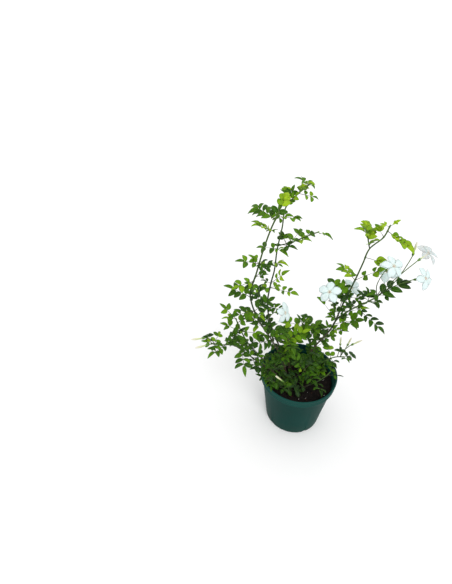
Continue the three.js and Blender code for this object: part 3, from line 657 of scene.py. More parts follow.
def potFinish(name):
    # thin moulded plastic: soft sheen, faint turning marks, dust towards the foot, and a lighter collar band
    # that is a painted highlight with a little handling wear
    skin = potSkin
    finish = Finish(name, skin)
    cloud = finish.noiseAt(*skin["clouds"])
    height = finish.split(finish.objectPlace())["Z"]
    low = finish.less(1.0, finish.times(height, skin["dustFade"]), clamp=True)
    speck = finish.maths("GREATER_THAN", finish.noiseAt(skin["speckScale"]), skin["speckAbove"])
    dust = finish.times(low, finish.times(cloud, skin["dustShare"]))
    dust = finish.timesPlus(speck, skin["speckShare"], dust)
    colour = finish.mix(dust, finish.ramp(cloud, skin["colours"]), linear(*skin["dust"]))
    # the collar above its step is painted lighter: a painted highlight, with a little handling wear
    collar = finish.maths("GREATER_THAN", height, skin["collarAbove"])
    colour = finish.mix(finish.times(collar, skin["collarHighlightShare"]), colour, linear(*skin["collar"]))
    finish.paint(colour)
    marks = finish.maths("SINE", finish.times(height, skin["turningMarks"]))
    marks = finish.times(marks, skin["turningRelief"])
    finish.bump(finish.maths("ADD", finish.noiseAt(*skin["grain"]), marks), *skin["relief"])
    finish.give({"Roughness": finish.timesPlus(cloud, skin["roughnessAdded"], skin["roughness"])})
    return finish.material


grainSkin = {
    "mottle": (260.0, 5.0), "grain": (900.0, 4.0), "relief": (0.6, 0.0008), "darkTo": 0.3, "lightFrom": 0.75,
    "specular": 0.2,
    "soil": {"dark": (10, 9, 9), "light": (38, 30, 26), "roughness": 0.95},
    "bark": {"dark": (46, 22, 16), "light": (112, 58, 40), "roughness": 0.85},
    "perlite": {"dark": (196, 192, 182), "light": (236, 234, 226), "roughness": 0.9},
}


def grainFinish(name, grain):
    skin = {**grainSkin, **grainSkin[grain]}
    finish = Finish(name, skin)
    stops = [(skin["darkTo"], skin["dark"]), (skin["lightFrom"], skin["light"])]
    finish.paint(finish.ramp(finish.noiseAt(*skin["mottle"]), stops))
    finish.bump(finish.noiseAt(*skin["grain"]), *skin["relief"])
    return finish.material


finishes = {
    "leaf": leafFinish("leafUpper", False),
    "underleaf": leafFinish("leafUnderside", True),
    "stem": stemFinish("greenStem"),
    "petal": petalFinish("petalFront"),
    "petalBack": petalFinish("petalBack"),
    "tube": tubeFinish("flowerTube"),
    "calyx": calyxFinish("greenCalyx"),
    "pot": potFinish("darkGreenPlastic"),
    "soil": grainFinish("peat", "soil"),
    "bark": grainFinish("barkChip", "bark"),
    "perlite": grainFinish("perliteBit", "perlite"),
}
print("materials made:", len(finishes))


# Meshes that are made once and repeated
def show(piece):
    bpy.context.scene.collection.objects.link(piece)
    return piece


def meshFrom(name, points, faces, materials=(), faceMaterial=None, maps=None):
    mesh = bpy.data.meshes.new(name)
    mesh.from_pydata([tuple(point) for point in points], [], faces)
    for material in materials:
        mesh.materials.append(material)
    if faceMaterial:
        mesh.polygons.foreach_set("material_index", faceMaterial)
    if maps:
        layer = mesh.uv_layers.new(name="blade")
        for loop in mesh.loops:
            layer.data[loop.index].uv = maps[loop.vertex_index]
    mesh.shade_smooth()
    mesh.update()
    return bpy.data.objects.new(name, mesh)


def tidyNormals(made):
    sheet = bmesh.new()
    sheet.from_mesh(made.data)
    bmesh.ops.recalc_face_normals(sheet, faces=sheet.faces)
    sheet.to_mesh(made.data)
    sheet.free()
    return made


def scaled(made, scale):
    for vertex in made.data.vertices:
        vertex.co = vertex.co * scale
    return made


def joinRings(rings):
    # faces between rings of points; a ring of one point is a pole
    faces = []
    for ring, following in zip(rings, rings[1:]):
        sides = max(len(ring), len(following))
        for side in range(sides):
            after = (side + 1) % sides
            corners = [ring[side % len(ring)], ring[after % len(ring)],
                       following[after % len(following)], following[side % len(following)]]
            faces.append(tuple(dict.fromkeys(corners)))
    return faces


def ringOf(points, radius, height, sides):
    # adds a level ring of points, or a pole on the axis, and returns their numbers
    start = len(points)
    if radius == 0:
        points.append((0, 0, height))
        return [start]
    for side in range(sides):
        turn = 2 * pi * side / sides
        points.append((radius * cos(turn), radius * sin(turn), height))
    return list(range(start, start + sides))


def bladeObject(name, rows, columns, halfWidth, heightAt, thickness, materials):
    # a thin closed blade along X: upper and lower faces meet at its edge
    points, maps = [(0, 0, heightAt(0, 0))], [(0, 0.5)]
    upper, lower = [], []
    for t in rows[1:-1]:
        top, under = [], []
        for column in range(columns + 1):
            v = 2 * column / columns - 1
            y = halfWidth(t) * v
            z = heightAt(t, v)
            rise = 0 if column in (0, columns) else thickness / 2
            top.append(len(points))
            points.append((t, y, z + rise))
            maps.append((t, (v + 1) / 2))
            if rise:
                under.append(len(points))
                points.append((t, y, z - rise))
                maps.append((t, (v + 1) / 2))
            else:
                under.append(top[-1])
        upper.append(top)
        lower.append(under)
    tip = len(points)
    points.append((1, 0, heightAt(1, 0)))
    maps.append((1, 0.5))
    faces, sides = [], []
    for grid, side in ((upper, 0), (lower, 1)):
        for column in range(columns):
            patches = [(0, grid[0][column + 1], grid[0][column])]
            for row, following in zip(grid, grid[1:]):
                patches.append((row[column], row[column + 1], following[column + 1], following[column]))
            patches.append((grid[-1][column], grid[-1][column + 1], tip))
            faces += [patch[::-1] if (order > 0) == (side == 0) else patch
                      for order, patch in enumerate(patches)]
            sides += [side] * len(patches)
    return tidyNormals(meshFrom(name, points, faces, materials, sides, maps))


def turnedObject(name, profile, sides, finish, ridges=0, ridge=0.0, twist=0.0):
    # profile rows are place along X and radius; first and last close on the axis
    points, maps, rings = [], [], []
    start, end = profile[0][0], profile[-1][0]
    span = end - start or 1
    for x, radius in profile:
        count = sides if radius else 1
        rings.append(list(range(len(points), len(points) + count)))
        for side in range(count):
            turn = 2 * pi * side / sides
            out = radius * (1 + ridge * cos(ridges * (turn - twist * x)))
            points.append((x, out * cos(turn), out * sin(turn)))
            maps.append(((x - start) / span, side / sides))
    return tidyNormals(meshFrom(name, points, joinRings(rings), [finishes[finish]], None, maps))


leafletForm = {
    "rows": [0, 0.07, 0.2, 0.38, 0.58, 0.78, 0.92, 1], "columns": 4, "thickness": 0.028, "arch": 0.06,
    "rippleTurn": 5.2,
    "side": (0.88, 0.62),       # where a side leaflet is widest, and how blunt it is
    "end": (0.74, 0.85),
}


def leafletObject(name, outline, cup, sag, ripple):
    widest, blunt = leafletForm[outline]

    def halfWidth(t):
        return sin(pi * t ** widest) ** blunt

    def heightAt(t, v):
        fold = cup * abs(v) * halfWidth(t) if 0 < t < 1 else 0
        arch = leafletForm["arch"] * sin(pi * t)
        return fold + arch - sag * t * t + ripple * v * sin(leafletForm["rippleTurn"] * t)

    return bladeObject(name, leafletForm["rows"], leafletForm["columns"], halfWidth, heightAt,
                       leafletForm["thickness"], [finishes["leaf"], finishes["underleaf"]])


flowerForm = {
    "count": 5,
    "radius": 18,
    "root": 0.06,           # petals start this far from the middle
    "crown": 2.4,
    "halfWidth": 6.4,
    "widest": 1.15,
    "pointed": 0.74,        # lower is blunter
    "recurve": (2, 13),     # degrees that a petal leans back
    "roll": (-14, 14),
    "lengths": (0.97, 1), "widths": (0.95, 1.05),
    "tube": 15,
    "tubeRadius": (0.86, 1.38), "tubeFlare": 3, "tubeRows": (0, 0.2, 0.4, 0.6, 0.8, 0.92),
    # place over the petals' foot and radius, out over the mouth and down the inside
    "mouth": [(0.2, 1.587), (0.9, 1.955), (1.25, 2.3), (1.05, 2.116), (0.3, 1.38), (-1.2, 0.95), (-5, 0.6),
              (-5.4, 0)],
    "lap": 0.12,            # one edge of a petal stands over its neighbour
    "thickness": 0.45,
    "curlFrom": 0.7, "cupDepth": 0.03, "midrib": 0.006,
    "rows": [0, 0.05, 0.14, 0.26, 0.4, 0.54, 0.67, 0.79, 0.89, 0.96, 1], "columns": 6, "sides": 14,
}
budForm = {
    "length": 19, "radius": 1.7, "footRadius": 0.85, "swellPower": 1.6, "taper": 0.55, "taperPower": 4,
    "point": (0.985, 0.2), "ridges": 5, "ridge": 0.05, "twist": 0.09, "steps": 18, "sides": 15,
}
calyxForm = {
    "height": 4, "footRadius": 0.65, "sides": 15,
    # place and radius, up the outside and down the inside
    "cup": [(0, 0), (0, 0.65), (0.6, 0.8125), (1.6, 1.404), (2.8, 1.692), (4, 1.8), (4, 1.296), (3.2, 1.08),
            (3.1, 0)],
    "teeth": 5, "toothLength": 3.4, "toothHalf": 0.16, "toothTip": 0.2,
    "toothFoot": (3.3, 1.548), "toothLean": 0.5,
    "toothWidths": ((0, 0.62), (0.35, 0.42), (0.7, 0.22)),
    "gap": 0.3,     # between the solid calyx and the flower or bud on it
}


def petalObject(name, curl, cup):
    form = flowerForm
    radius = form["radius"]

    def reachAt(t):
        return form["root"] + (1 - form["root"]) * t

    def halfWidth(t):
        return form["halfWidth"] / radius * sin(pi * t ** form["widest"]) ** form["pointed"]

    def heightAt(t, v):
        y = halfWidth(t) * v if 0 < t < 1 else 0
        reach = min(hypot(reachAt(t), y), 1)
        arch = form["crown"] * (1 - (2 * reach - 1) ** 2)
        edge = form["lap"] * y - cup * v ** 2 * form["cupDepth"] + form["midrib"] * (1 - abs(v))
        return arch / radius + edge - curl * max(t - form["curlFrom"], 0) ** 2

    made = bladeObject(name, form["rows"], form["columns"], halfWidth, heightAt,
                       form["thickness"] / radius, [finishes["petal"], finishes["petalBack"]])
    for vertex in made.data.vertices:
        vertex.co.x = reachAt(vertex.co.x)
        vertex.co = vertex.co * radius * mm
    return made


def flowerTubeObject():
    form = flowerForm
    profile = [(-form["tube"], 0)]
    profile += [(-form["tube"] * (1 - share), between(form["tubeRadius"], share ** form["tubeFlare"]))
                for share in form["tubeRows"]]
    return scaled(turnedObject("corollaTube", profile + form["mouth"], form["sides"], "tube"), mm)


def budObject():
    form = budForm
    length, ends, (point, pointRadius) = form["length"], (form["footRadius"], form["radius"]), form["point"]
    profile = [(0, 0)]
    for step in range(form["steps"]):
        share = step / form["steps"]
        swell = between(ends, sin(pi * share ** form["swellPower"]))
        profile.append((share * length, swell - form["taper"] * share ** form["taperPower"]))
    profile += [(length * point, pointRadius), (length, 0)]
    return scaled(turnedObject("closedBud", profile, form["sides"], "tube", form["ridges"], form["ridge"],
                               form["twist"]), mm)


def calyxObject():
    form = calyxForm
    made = turnedObject("calyxCup", form["cup"], form["sides"], "calyx")
    sheet = bmesh.new()
    sheet.from_mesh(made.data)
    half, (start, footRadius) = form["toothHalf"], form["toothFoot"]
    for tooth in range(form["teeth"]):
        turn = 2 * pi * tooth / form["teeth"]

        def cornerAt(share, rise, width):
            out = footRadius + form["toothLean"] * share + rise
            return sheet.verts.new((start + share * form["toothLength"], out * cos(turn) - width * sin(turn),
                                    out * sin(turn) + width * cos(turn)))

        rings = [[cornerAt(share, rise, side) for rise, side in
                  ((half, width), (half, -width), (-half, -width), (-half, width))]
                 for share, width in form["toothWidths"]]
        rings.append([cornerAt(1, form["toothTip"], 0)])
        sheet.faces.new(rings[0])
        for corners in joinRings(rings):
            sheet.faces.new(corners)
    bmesh.ops.recalc_face_normals(sheet, faces=sheet.faces)
    bmesh.ops.scale(sheet, vec=(mm, mm, mm), verts=sheet.verts)
    sheet.to_mesh(made.data)
    sheet.free()
    return made


# in the order of the numbers in partKinds
parts = [
    leafletObject("leafletFlat", "side", 0.10, 0.05, 0.0),
    leafletObject("leafletCupped", "side", 0.22, 0.10, 0.03),
    leafletObject("leafletTwisted", "side", 0.14, 0.16, -0.06),
    leafletObject("leafletEnd", "end", 0.14, 0.12, 0.02),
    petalObject("petalFlat", 0.3, 0.4),
    petalObject("petalCurled", 1.1, 1.0),
    flowerTubeObject(),
    budObject(),
    calyxObject(),
]
partKinds = {"leaflet": (0, 1, 2), "endLeaflet": 3, "petal": (4, 5), "tube": 6, "bud": 7, "calyx": 8}


def shelf(name, objects):
    made = bpy.data.collections.new(name)
    bpy.context.scene.collection.children.link(made)
    for item in objects:
        made.objects.link(item)
    return made


def clearShelf(collection):
    for item in list(collection.objects):
        bpy.data.objects.remove(item)
    bpy.data.collections.remove(collection)


# a collection gives its parts by name, so a letter keeps each at its number
for letter, part in zip("abcdefghi", parts):
    part.name = letter + "_" + part.name
partShelf = shelf("jasmineParts", parts)
print("repeated parts made:", len(parts))


class NodeTree:
    # a Geometry Nodes tree, with short ways to add its nodes
    def __init__(self, name, inputs):
        self.tree = bpy.data.node_groups.new(name, "GeometryNodeTree")
        sockets = [("Geometry", "INPUT", "Geometry")]
        sockets += [(title, "INPUT", kind) for title, kind in inputs.items()]
        sockets.append(("Geometry", "OUTPUT", "Geometry"))
        for title, way, kind in sockets:
            self.tree.interface.new_socket(title, in_out=way, socket_type="NodeSocket" + kind)
        self.given = self.tree.nodes.new("NodeGroupInput").outputs

    def add(self, kind, sockets, **settings):
        made = self.tree.nodes.new(kind)
        for key, value in settings.items():
            setattr(made, key, value)
        taken = {socket.name: socket for socket in made.inputs if socket.enabled}
        for key, value in sockets.items():
            for item in value if isinstance(value, list) else [value]:
                plug(self.tree, item, taken[key])
        return next(socket for socket in made.outputs if socket.enabled)

    def times(self, first, second):
        made = self.tree.nodes.new("ShaderNodeMath")
        made.operation = "MULTIPLY"
        plug(self.tree, first, made.inputs[0])
        plug(self.tree, second, made.inputs[1])
        return made.outputs["Value"]

    def attribute(self, name, kind):
        return self.add("GeometryNodeInputNamedAttribute", {"Name": name}, data_type=kind)

    def shapes(self, given):
        return self.add("GeometryNodeCollectionInfo", {
            "Collection": self.given[given], "Separate Children": True, "Reset Children": True})

    def end(self, geometry):
        self.tree.links.new(geometry, self.tree.nodes.new("NodeGroupOutput").inputs["Geometry"])
        return self.tree


def growthTree():
    # grows every piece of the plant: tubes along the edges, parts on the marked points
    tree = NodeTree("jasmineGrowth", {"Parts": "Collection", "Tube Sides": "Int",
                                      "Tube Thickness": "Float", "Tube Material": "Material"})
    given = tree.given
    line = tree.add("GeometryNodeMeshToCurve", {"Mesh": given["Geometry"]})
    ring = tree.add("GeometryNodeCurvePrimitiveCircle", {"Resolution": given["Tube Sides"], "Radius": 1.0})
    thick = tree.times(tree.attribute("tubeRadius", "FLOAT"), given["Tube Thickness"])
    tube = tree.add("GeometryNodeCurveToMesh", {"Curve": line, "Profile Curve": ring, "Scale": thick,
                                                "Fill Caps": True})
    tube = tree.add("GeometryNodeStoreNamedAttribute", {"Geometry": tube, "Name": "isTube", "Value": True},
                    data_type="BOOLEAN", domain="FACE")
    turn = tree.add("FunctionNodeAxesToRotation", {
        "Primary Axis": tree.attribute("along", "FLOAT_VECTOR"),
        "Secondary Axis": tree.attribute("facing", "FLOAT_VECTOR")}, primary_axis="X", secondary_axis="Z")
    placed = tree.add("GeometryNodeInstanceOnPoints", {
        "Points": given["Geometry"], "Selection": tree.attribute("isSite", "BOOLEAN"),
        "Instance": tree.shapes("Parts"), "Pick Instance": True,
        "Instance Index": tree.attribute("kind", "INT"), "Rotation": turn,
        "Scale": tree.attribute("size", "FLOAT_VECTOR")})
    joined = tree.add("GeometryNodeJoinGeometry", {"Geometry": [placed, tube]})
    smooth = tree.add("GeometryNodeSetShadeSmooth", {"Geometry": joined})
    solid = tree.add("GeometryNodeRealizeInstances", {"Geometry": smooth})
    return tree.end(tree.add("GeometryNodeSetMaterial", {
        "Geometry": solid, "Selection": tree.attribute("isTube", "BOOLEAN"),
        "Material": given["Tube Material"]}))


growth = growthTree()
tubeForm = {"sides": 8, "thickness": 1.0}


def setTree(piece, tree, values):
    modifier = piece.modifiers.new(tree.name, "NODES")
    modifier.node_group = tree
    for item in tree.interface.items_tree:
        if item.name in values and item.in_out == "INPUT":
            modifier[item.identifier] = values[item.name]


def plainMesh(source, name):
    # the modifiers' result as a mesh of its own, with the source removed
    bpy.context.view_layer.update()
    made = bpy.data.meshes.new_from_object(source.evaluated_get(bpy.context.evaluated_depsgraph_get()))
    bpy.data.objects.remove(source)
    made.name = name
    return show(bpy.data.objects.new(name, made))


def settle(piece, slot, *nodes):
    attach(piece, "root")
    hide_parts(*nodes)


class Sketch:
    # points, lines and marked places that the growth tree turns into a piece
    layers = {
        # type, field, and what a point has where nothing else is given
        "tubeRadius": ("FLOAT", "value", 0.0),
        "tint": ("FLOAT", "value", 0.5),
        "shade": ("FLOAT", "value", 0.5),
        "kind": ("INT", "value", 0),
        "isSite": ("BOOLEAN", "value", False),
        "along": ("FLOAT_VECTOR", "vector", (1, 0, 0)),
        "facing": ("FLOAT_VECTOR", "vector", (0, 0, 1)),
        "size": ("FLOAT_VECTOR", "vector", (1, 1, 1)),
    }
    kept = {"shade", "tint", "blade", "position", "sharp_face", "material_index"}

    def __init__(self):
        self.points, self.edges = [], []
        self.values = {name: [] for name in self.layers}

    def add(self, point, **given):
        self.points.append(point)
        for name, column in self.values.items():
            column.append(given.get(name, self.layers[name][2]))

    def line(self, points, radii, tints):
        start = len(self.points)
        for point, radius, tint in zip(points, radii, tints):
            self.add(point, tubeRadius=radius * mm, tint=tint)
        self.edges += [(k, k + 1) for k in range(start, len(self.points) - 1)]

    def site(self, point, along, facing, size, kind, shade=0.5):
        self.add(point, isSite=True, along=tuple(along), facing=tuple(facing), size=size, kind=kind,
                 shade=shade)

    def grow(self, name):
        mesh = bpy.data.meshes.new(name + "Sketch")
        mesh.from_pydata([tuple(np.asarray(point) * mm) for point in self.points], self.edges, [])
        for key, column in self.values.items():
            kind, field = self.layers[key][:2]
            mesh.attributes.new(key, kind, "POINT").data.foreach_set(field, np.ravel(column).tolist())
        source = show(bpy.data.objects.new(name + "Sketch", mesh))
        setTree(source, growth, {"Parts": partShelf, "Tube Sides": tubeForm["sides"],
                                 "Tube Thickness": tubeForm["thickness"], "Tube Material": finishes["stem"]})
        piece = plainMesh(source, name)
        for layer in list(piece.data.attributes):
            if layer.name not in self.kept and not layer.name.startswith(".") and not layer.is_required:
                piece.data.attributes.remove(layer)
        return piece


towardsLight = np.array(leafForm["light"])


def turned(vector, axis, angle):
    # a vector square to the axis, turned round it
    return vector * cos(angle) + np.cross(axis, vector) * sin(angle)


def leafAxes(compass, rise, seed):
    flat = cos(radians(rise))
    along = np.array([flat * cos(radians(compass)), flat * sin(radians(compass)), sin(radians(rise))])
    facing = unit(towardsLight - towardsLight @ along * along)
    facing = turned(facing, along, radians(between(leafForm["roll"], chance(seed + 0.37))))
    return along, np.cross(facing, along), facing


def leafDroop(length, seed):
    return between(leafForm["droop"], chance(seed + 0.61)) * length


def leafAsBuilt(corners, foot, compass, rise, length, seed):
    # the turn that the solid leaf took, found by its tip among the solid's corners
    droop = leafDroop(length, seed)
    for sideways, upwards in leafTurns:
        along, across, facing = leafAxes(compass + sideways, rise + upwards, seed)
        tip = foot + along * length - facing * droop
        faces = [tip + facing * leafForm["solidHalf"] * side for side in (-1, 1)]
        if all(corners.find(Vector(face * mm))[2] < leafForm["tipMissesBy"] * mm for face in faces):
            return along, across, facing, droop
    return None


def drawLeaf(sketch, foot, axes, length, leaflets, seed, shade):
    along, across, facing, droop = axes
    odd = oddLeaves.get(seed, {})
    shade = odd.get("shade", shade)
    form = {**leafForm, **(youngLeaf if shade < youngLeaf["upTo"] else {}), **odd}
    small = leaflets == 3
    smallScale = form["smallLeafSides"] if small else 1

    def placeAt(x, y):
        lift = form["foldSlope"] * abs(y) - form["foldSag"] * y * y - droop * (x / length) ** 2
        return foot + along * x + across * y + facing * lift

    def blade(start, end, half, kind, twist):
        way = end - start
        reach = np.linalg.norm(way)
        way = way / reach
        up = turned(unit(facing - facing @ way * way), way, twist)
        tone = shade + form["toneSpread"] * (chance(seed + reach) - 0.5)
        low, high = form["tones"]
        sketch.site(start, way, up, (reach * mm, half * mm, reach * mm), kind, min(max(tone, low), high))

    pairs = form.get("pairs", min((leaflets - 1) // 2 + (length >= form["addedPair"]), form["mostPairs"]))
    firstPair = form["stalkShare"] * length * (form["smallLeafStalk"] if small else 1)
    endStart = (1 - form["smallLeafEnd" if small else "endShare"]) * length
    spacing = (endStart * form["lastPair"] - firstPair) / max(pairs - 1, 1)
    rib = form["ribHalfWidth"]
    for pair in range(pairs):
        root = firstPair + pair * spacing
        for side in (-1, 1):
            draw = chance(seed + pair * 7 + side * 3)
            lean = radians(between(form["lean"], draw))
            reach = between(form["sideLength"], draw) * length * smallScale
            reach *= form["sideScale"] - form["sideStep"] * (pairs - pair)
            start = placeAt(root, side * rib)
            end = placeAt(root + reach * cos(lean), side * (rib + reach * sin(lean)))
            kind = partKinds["leaflet"][int(chance(seed * 3 + pair + side) * len(partKinds["leaflet"]))]
            half = form["halfWidthOfLength"] * reach
            if pairs > 1:
                half = min(half, form["halfWidthOfSpacing"] * abs(spacing))
            half *= between(form["halfWidthSpread"], chance(seed + pair + 9 * side))
            blade(start, end, half, kind, form["twist"] * (chance(seed * 5 + pair * 3 + side) - 0.5))
    endRoot = endStart - form["endRoot"] * length
    blade(placeAt(endRoot, 0), placeAt(form["tip"] * length, 0), form["endHalfWidth"] * length * smallScale,
          partKinds["endLeaflet"], 0)
    stations = np.linspace(0, endRoot + form["stalkLap"] * length, form["stalkSteps"])
    share = stations / stations[-1]
    thinnest, fullLength = form["stalkThinning"]
    thick = thinnest + (1 - thinnest) * min(length / fullLength, 1)
    sketch.line([placeAt(x, 0) for x in stations], between(form["stalkRadius"], share) * thick,
                between(form["stalkTint"], share))


bloomStalk = {
    "straight": 0.35,       # share of its length that runs in line with the flower
    "bend": 0.55, "steps": 14, "tints": (0.62, 0.92), "sideways": (0.3, 1, 0.2),
}


def drawBloomStalk(sketch, start, top, direction):
    form = bloomStalk
    foot = top - direction * calyxForm["height"]
    bend = foot - direction * form["straight"] * np.linalg.norm(foot - start)
    stalk, length = smoothPath([start, start + (bend - start) * form["bend"], foot, top])
    shares = np.linspace(0, 1 - calyxForm["height"] / length, form["steps"])
    sketch.line([stalk(share) for share in shares], np.full(form["steps"], calyxForm["footRadius"]),
                between(form["tints"], shares))
    side = unit(np.cross(direction, form["sideways"]))
    sketch.site(foot, direction, side, (1, 1, 1), partKinds["calyx"])


def leafShade(branch, at, size, seed):
    # leaves are older down the branch, and small ones are younger
    form = shadeForm
    shade = between(branch["shade"], at) + form["spread"] * (chance(seed + 0.83) - 0.5)
    return shade - form["smallLighter"] * max(0, (form["smallBelow"] - size) / form["smallSpan"])


sideLeafForm = {
    "size": (18, 30),
    "footSize": (24, 36),   # on the bare foot of a stem, down in the pot
    "mostlySmall": 1.3,     # higher gives fewer large ones
    "footPlaces": (0.06, 0.3),
    "apart": 0.015,         # of the branch, between leaves of one axil
    "rise": (-10, 60),
    "turn": 137.5,          # each stands this far round the stem from the last
    "fiveLeaflets": 29,     # from this size
    "lowest": 108,          # clear of the soil
    "rimClear": (52, 136),  # and of the rim: no nearer to it than this radius, below this height
    "firstSeed": 1000, "seedStep": 3,
}
counts = {"leaf": firstLeaf - 1, "sideLeaf": 0, "flower": 0, "bud": 0}


def growSideLeaves(sketch, branch, path, rows):
    # small leaves in the axils of the large ones, and larger ones on the bare foot
    form = sideLeafForm
    number, upTo = branch["sideLeaves"]
    places = [(at - form["apart"] * order, form["size"])
              for at in sorted({row[0] for row in rows if row[0] <= upTo}) for order in range(number)]
    places += [(at, form["footSize"]) for at in np.linspace(*form["footPlaces"], branch.get("footLeaves", 0))]
    for at, sizes in places:
        counts["sideLeaf"] += 1
        seed = form["firstSeed"] + counts["sideLeaf"] * form["seedStep"]
        size = between(sizes, chance(seed + 0.11) ** form["mostlySmall"])
        axes = leafAxes(form["turn"] * counts["sideLeaf"], between(form["rise"], chance(seed + 0.29)), seed)
        foot = path(at)
        tip = foot + axes[0] * size
        overRim = hypot(tip[0], tip[1]) > form["rimClear"][0] and tip[2] < form["rimClear"][1]
        inside = all(low < value * mm < high for low, value, high in zip(solidBox[0], tip, solidBox[1]))
        if inside and not overRim and min(tip[2], foot[2]) >= form["lowest"]:
            drawLeaf(sketch, foot, (*axes, leafDroop(size, seed)), size,
                     3 if size < form["fiveLeaflets"] else 5, seed, leafShade(branch, at, size, seed))


def growFlower(centre, facing):
    counts["flower"] += 1
    number, form = counts["flower"], flowerForm
    across = unit(np.array([1, 0, 0]) - facing[0] * facing)
    upward = np.cross(facing, across)
    first = chance(number + 1)
    sketch = Sketch()
    for petal in range(form["count"]):
        turn = 2 * pi * (petal + first) / form["count"]
        draw, leanDraw, rollDraw = (chance(number * step + petal) for step in (11, 17, 23))
        lean = radians(between(form["recurve"], leanDraw))
        flat = across * cos(turn) + upward * sin(turn)
        way = flat * cos(lean) - facing * sin(lean)
        upper = facing * cos(lean) + flat * sin(lean)
        upper = turned(upper, way, radians(between(form["roll"], rollDraw)))
        sketch.site(centre, way, upper, (between(form["lengths"], draw), between(form["widths"], draw), 1),
                    partKinds["petal"][int(draw * len(partKinds["petal"]))])
    sketch.site(centre, facing, across, (1, 1, 1), partKinds["tube"])
    settle(sketch.grow("flower_%d_bloom" % number), "petal", "flower_%d" % number)


def growBud(foot, direction):
    counts["bud"] += 1
    name = "bud_%d" % counts["bud"]
    sketch = Sketch()
    sketch.site(foot, direction, unit(np.cross((0, 0, 1), direction)), (1, 1, 1), partKinds["bud"])
    settle(sketch.grow(name + "_closed"), "bud", name)


stemForm = {
    "step": 1.6,                        # between the points of its line
    "thickness": (0.92, 1.16),          # of the solid's, at foot and tip
    "swell": 0.32, "swellReach": 1.8,   # at every joint
    "lastPoint": 0.5,
    "mainTints": (0.15, 0.85), "sideTints": (0.55, 0.85), "tintPower": 0.8,
}


def growStem(name, branches):
    vertices = frame["nodes"][name].data.vertices
    corners = KDTree(len(vertices))
    for vertex in vertices:
        corners.insert(vertex.co, vertex.index)
    corners.balance()
    form, sketch, missing = stemForm, Sketch(), 0
    for order, branch in enumerate(branches):
        path, length = smoothPath(branch["path"])
        rows = list(branch["leaves"])
        for at, compass, *rest in branch.get("pairs", []):
            rows += [(at, compass, *rest), (at, compass + 180, *rest)]
        shares = np.linspace(0, 1, int(length / form["step"]) + 2)
        swell = np.zeros(len(shares))
        for row in rows:
            away = (shares - row[0]) * length / form["swellReach"]
            swell = np.maximum(swell, form["swell"] * np.exp(-away ** 2))
        radii = between(branch["radius"], shares) * (between(form["thickness"], shares) + swell)
        radii[-1] *= form["lastPoint"]
        tints = between(form["sideTints" if order else "mainTints"], shares ** form["tintPower"])
        sketch.line([path(share) for share in shares], radii, tints)
        for at, compass, rise, size, leaflets in rows:
            counts["leaf"] += 1
            seed, foot = counts["leaf"], path(at)
            axes = leafAsBuilt(corners, foot, compass, rise, size, seed)
            if axes:
                drawLeaf(sketch, foot, axes, size, leaflets, seed, leafShade(branch, at, size, seed))
            else:
                missing += 1
        growSideLeaves(sketch, branch, path, rows)
        for at, centre, facing in branch.get("flowers", []):
            centre, direction = np.array(centre, float), unit(np.array(facing, float))
            top = centre - direction * (flowerForm["tube"] + calyxForm["gap"])
            drawBloomStalk(sketch, path(at), top, direction)
            growFlower(centre, direction)
        for at, foot, pointing in branch.get("buds", []):
            direction = unit(np.array(pointing, float))
            top = np.array(foot, float) - direction * calyxForm["gap"]
            drawBloomStalk(sketch, path(at), top, direction)
            growBud(top, direction)
    piece = sketch.grow(name + "_shoot")
    settle(piece, "foliage", name)
    print(name, "grown,", len(piece.data.polygons), "faces,", missing, "leaves without a solid")


for name, branches in stems.items():
    growStem(name, branches)
clearShelf(partShelf)
print("plant grown:", counts)


# Pot
potForm = {
    "height": 122, "baseRadius": 52, "neckRadius": 65, "collarRadius": 68.6, "rimRadius": 70,
    "collarHeight": 15, "collarStep": 2, "rimChamfer": 0.8, "wall": 1.6, "footChamfer": 1.5,
    "lipWidth": 3, "lipHeight": 3.5, "lipSlope": 1,
    "collarRings": (111.2, 115.8), "ringHalf": 1.0, "ringDepth": 0.6,
    "ringShape": ((-1, 0), (-0.4, 1), (0.4, 1), (1, 0)),
    "drains": 5, "firstDrain": -72, "drainRadius": 4.2, "drainReach": 11, "drainSides": 28,
    "grooveLength": 17, "grooveDepth": 0.7, "grooveRadius": 3, "grooveSides": 24,
    "segments": 128, "edgeRounding": 0.45, "roundingSteps": 3, "roundedFrom": 20, "sharpFrom": 28,
}
collarFoot = potForm["height"] - potForm["collarHeight"]
wallTop = collarFoot - potForm["collarStep"]
wallLean = (potForm["neckRadius"] - potForm["baseRadius"]) / (wallTop - potForm["footChamfer"])


def wallRadius(height):
    return potForm["baseRadius"] + wallLean * (height - potForm["footChamfer"])


def collarRadius(height):
    share = (height - collarFoot) / (potForm["height"] - potForm["rimChamfer"] - collarFoot)
    return between((potForm["collarRadius"], potForm["rimRadius"]), share)


def fromSheet(name, sheet):
    mesh = bpy.data.meshes.new(name)
    sheet.to_mesh(mesh)
    sheet.free()
    return bpy.data.objects.new(name, mesh)


def cutterRod(name, radius, length, sides, tilt, place, turn):
    sheet = bmesh.new()
    bmesh.ops.create_cone(sheet, cap_ends=True, segments=sides, radius1=radius * mm, radius2=radius * mm,
                          depth=length * mm)
    bmesh.ops.rotate(sheet, verts=sheet.verts, matrix=Matrix.Rotation(tilt, 3, "Y"))
    bmesh.ops.translate(sheet, verts=sheet.verts, vec=Vector(place) * mm)
    bmesh.ops.rotate(sheet, verts=sheet.verts, matrix=Matrix.Rotation(turn, 3, "Z"))
    return fromSheet(name, sheet)


